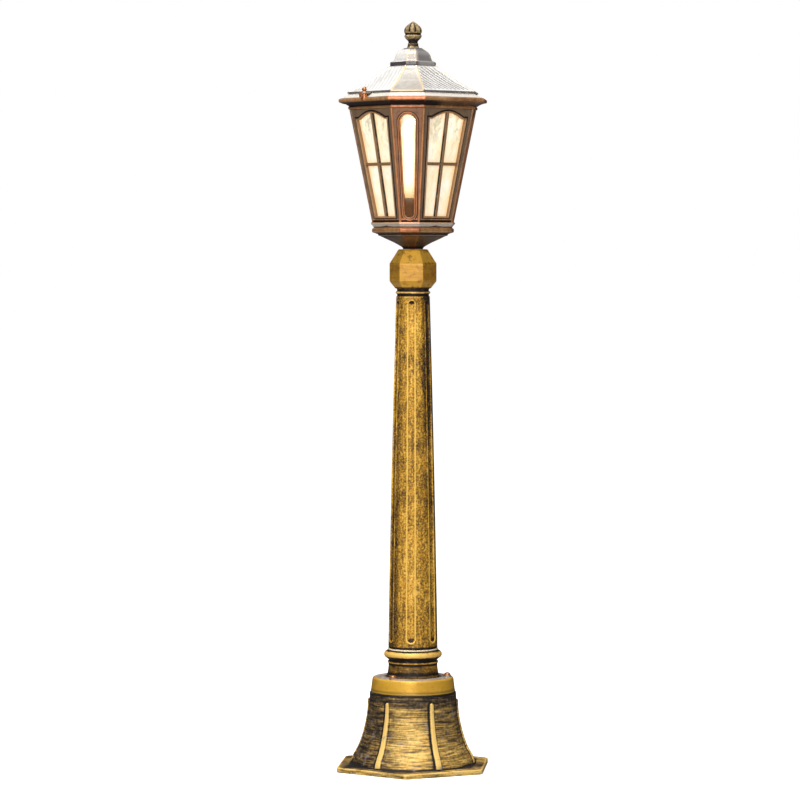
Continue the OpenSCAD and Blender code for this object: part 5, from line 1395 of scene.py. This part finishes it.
# ================================================================ finishes of the pieces that keep their own shape
FINISH = {
    "cap_bolts": "copper", "cap_washers": "steel", "centre_tube": "steel", "tube_nut_lower": "brass", "tube_washer_lower": "steel", "tube_nut_upper": "brass",
    "tube_washer_upper": "steel", "terminal_block": "nylon", "terminal_screws": "brass", "block_screws": "steel", "earth_screw": "brass", "inner_lead": "rubber",
    "rail_screws": "bronze", "glass_clips": "steel", "clip_screws": "steel", "panel_dowels": "steel", "roof_gasket": "rubber", "latch_boss": "copper",
    "hinge_bracket": "bronze", "hinge_screws": "steel", "hinge_pin": "steel", "holder_cup": "bakelite", "holder_insert": "porcelain", "holder_skirt": "bakelite",
    "holder_shell": "brass", "holder_contact": "brass", "roof_screws": "steel", "finial_stud": "steel", "finial_nut": "brass", "latch_washer": "nylon",
    "latch_screw": "copper", "bulb_tip": "steel", "bulb_glass": "bulb", "bulb_cap": "steel", "bulb_insulator": "porcelain", "bulb_stem": "porcelain",
    "bulb_filaments": "bulb",
}
for node, key in FINISH.items():
    ob = NODES[node]
    ob.data.materials.clear()
    ob.data.materials.append(M[key])
    ob.data.polygons.foreach_set("material_index", np.zeros(len(ob.data.polygons), np.int32))

# ================================================================ floor, light, camera
def paper(name, col, rough=0.9):
    t = Tree(name)
    n = t.noise(t.pos, 3.0, 3.0, 0.5)
    return t.finish(t.mix(t.span(n, 0.3, 0.7, 0.0, 1.0), col, tuple(0.985 * c for c in col)), rough, None, 0.0)


me = bpy.data.meshes.new("studio_floor")
S = 30.0
me.from_pydata([(-S, -S, 0), (S, -S, 0), (S, S, 0), (-S, S, 0)], [], [(0, 1, 2, 3)])
white = paper("studio_paper", (0.80, 0.80, 0.80))
pb = white.node_tree.nodes["Principled BSDF"]
pb.inputs["Emission Color"].default_value = (1, 1, 1, 1)
far = white.node_tree.nodes.new("ShaderNodeVectorMath")
far.operation = "LENGTH"
fc = white.node_tree.nodes.new("ShaderNodeTexCoord")
white.node_tree.links.new(fc.outputs["Object"], far.inputs[0])
fr = white.node_tree.nodes.new("ShaderNodeMapRange")
fr.interpolation_type = "SMOOTHSTEP"
for key, value in (("From Min", 0.2), ("From Max", 5.0), ("To Min", 0.66), ("To Max", 1.0)):
    fr.inputs[key].default_value = value
white.node_tree.links.new(far.outputs["Value"], fr.inputs["Value"])
white.node_tree.links.new(fr.outputs["Result"], pb.inputs["Emission Strength"])
pb.inputs["Specular IOR Level"].default_value = 0.0
me.materials.append(white)
floor = bpy.data.objects.new("studio_floor", me)
bpy.context.scene.collection.objects.link(floor)
# the paper is pale to the eye but lights the lamp no more than a dark studio floor would
floor.visible_diffuse = False
floor.visible_glossy = False

# plain studio surround: a pale wall in front of the lamp, dim sides and back, white behind the lamp for the eye
world = bpy.data.worlds.new("studio")
bpy.context.scene.world = world
world.use_nodes = True
wn = world.node_tree
bg = wn.nodes["Background"]
bg.inputs["Color"].default_value = (1.0, 1.0, 1.0, 1)
tc = wn.nodes.new("ShaderNodeTexCoord")
sx = wn.nodes.new("ShaderNodeSeparateXYZ")
wn.links.new(tc.outputs["Generated"], sx.inputs[0])
mr = wn.nodes.new("ShaderNodeMapRange")
mr.interpolation_type = "SMOOTHSTEP"
for key, value in (("From Min", -0.95), ("From Max", 0.1), ("To Min", 0.38), ("To Max", 0.06)):
    mr.inputs[key].default_value = value
wn.links.new(sx.outputs["Y"], mr.inputs["Value"])
low = wn.nodes.new("ShaderNodeMapRange")
low.interpolation_type = "SMOOTHSTEP"
for key, value in (("From Min", -0.9), ("From Max", 0.05), ("To Min", 0.34), ("To Max", 0.0)):
    low.inputs[key].default_value = value
wn.links.new(sx.outputs["Z"], low.inputs["Value"])
both = wn.nodes.new("ShaderNodeMath")
both.operation = "ADD"
wn.links.new(mr.outputs["Result"], both.inputs[0])
wn.links.new(low.outputs["Result"], both.inputs[1])
wn.links.new(both.outputs[0], bg.inputs["Strength"])
bg2 = wn.nodes.new("ShaderNodeBackground")
bg2.inputs["Color"].default_value = (1.0, 1.0, 1.0, 1)
bg2.inputs["Strength"].default_value = 1.0
lp = wn.nodes.new("ShaderNodeLightPath")
mx = wn.nodes.new("ShaderNodeMixShader")
wn.links.new(lp.outputs["Is Camera Ray"], mx.inputs[0])
wn.links.new(bg.outputs[0], mx.inputs[1])
wn.links.new(bg2.outputs[0], mx.inputs[2])
wn.links.new(mx.outputs[0], wn.nodes["World Output"].inputs["Surface"])


def area(name, loc, target, size, power, color=(1, 1, 1), size_y=None):
    L = bpy.data.lights.new(name, "AREA")
    L.energy = power
    L.color = color
    L.shape = "RECTANGLE"
    L.size = size
    L.size_y = size_y or size
    o = bpy.data.objects.new(name, L)
    o.location = loc
    o.rotation_euler = (Vector(target) - Vector(loc)).to_track_quat("-Z", "Y").to_euler()
    bpy.context.scene.collection.objects.link(o)
    return o


area("key_softbox", (-0.20, -2.9, 1.75), (0, 0, 0.62), 1.3, 64, (1.0, 0.985, 0.96), 1.8)
area("top_softbox", (-0.30, -0.55, 4.0), (0, 0, 1.0), 2.0, 138)

lamp = bpy.data.lights.new("bulb_light", "POINT")
lamp.energy = 1.6
lamp.color = (1.0, 0.80, 0.52)
lamp.shadow_soft_size = 0.02
lo_ = bpy.data.objects.new("bulb_light", lamp)
lo_.location = (0, 0, 1.056)
bpy.context.scene.collection.objects.link(lo_)

AZ = 5.0 * RAD
DIST, CAM_H, AIM_Z, AIM_X = 5.6, 0.833, 0.5938, -0.0209
cam_data = bpy.data.cameras.new("camera")
cam_data.sensor_width = 36.0
cam_data.lens = 156.9
cam_data.clip_end = 100
cam = bpy.data.objects.new("camera", cam_data)
cam.location = (DIST * math.sin(AZ), -DIST * math.cos(AZ), CAM_H)
aim = Vector((AIM_X * math.cos(AZ), AIM_X * math.sin(AZ), AIM_Z))
cam.rotation_euler = (aim - cam.location).to_track_quat("-Z", "Y").to_euler()
bpy.context.scene.collection.objects.link(cam)
bpy.context.scene.camera = cam
bpy.context.scene.view_settings.view_transform = "Standard"
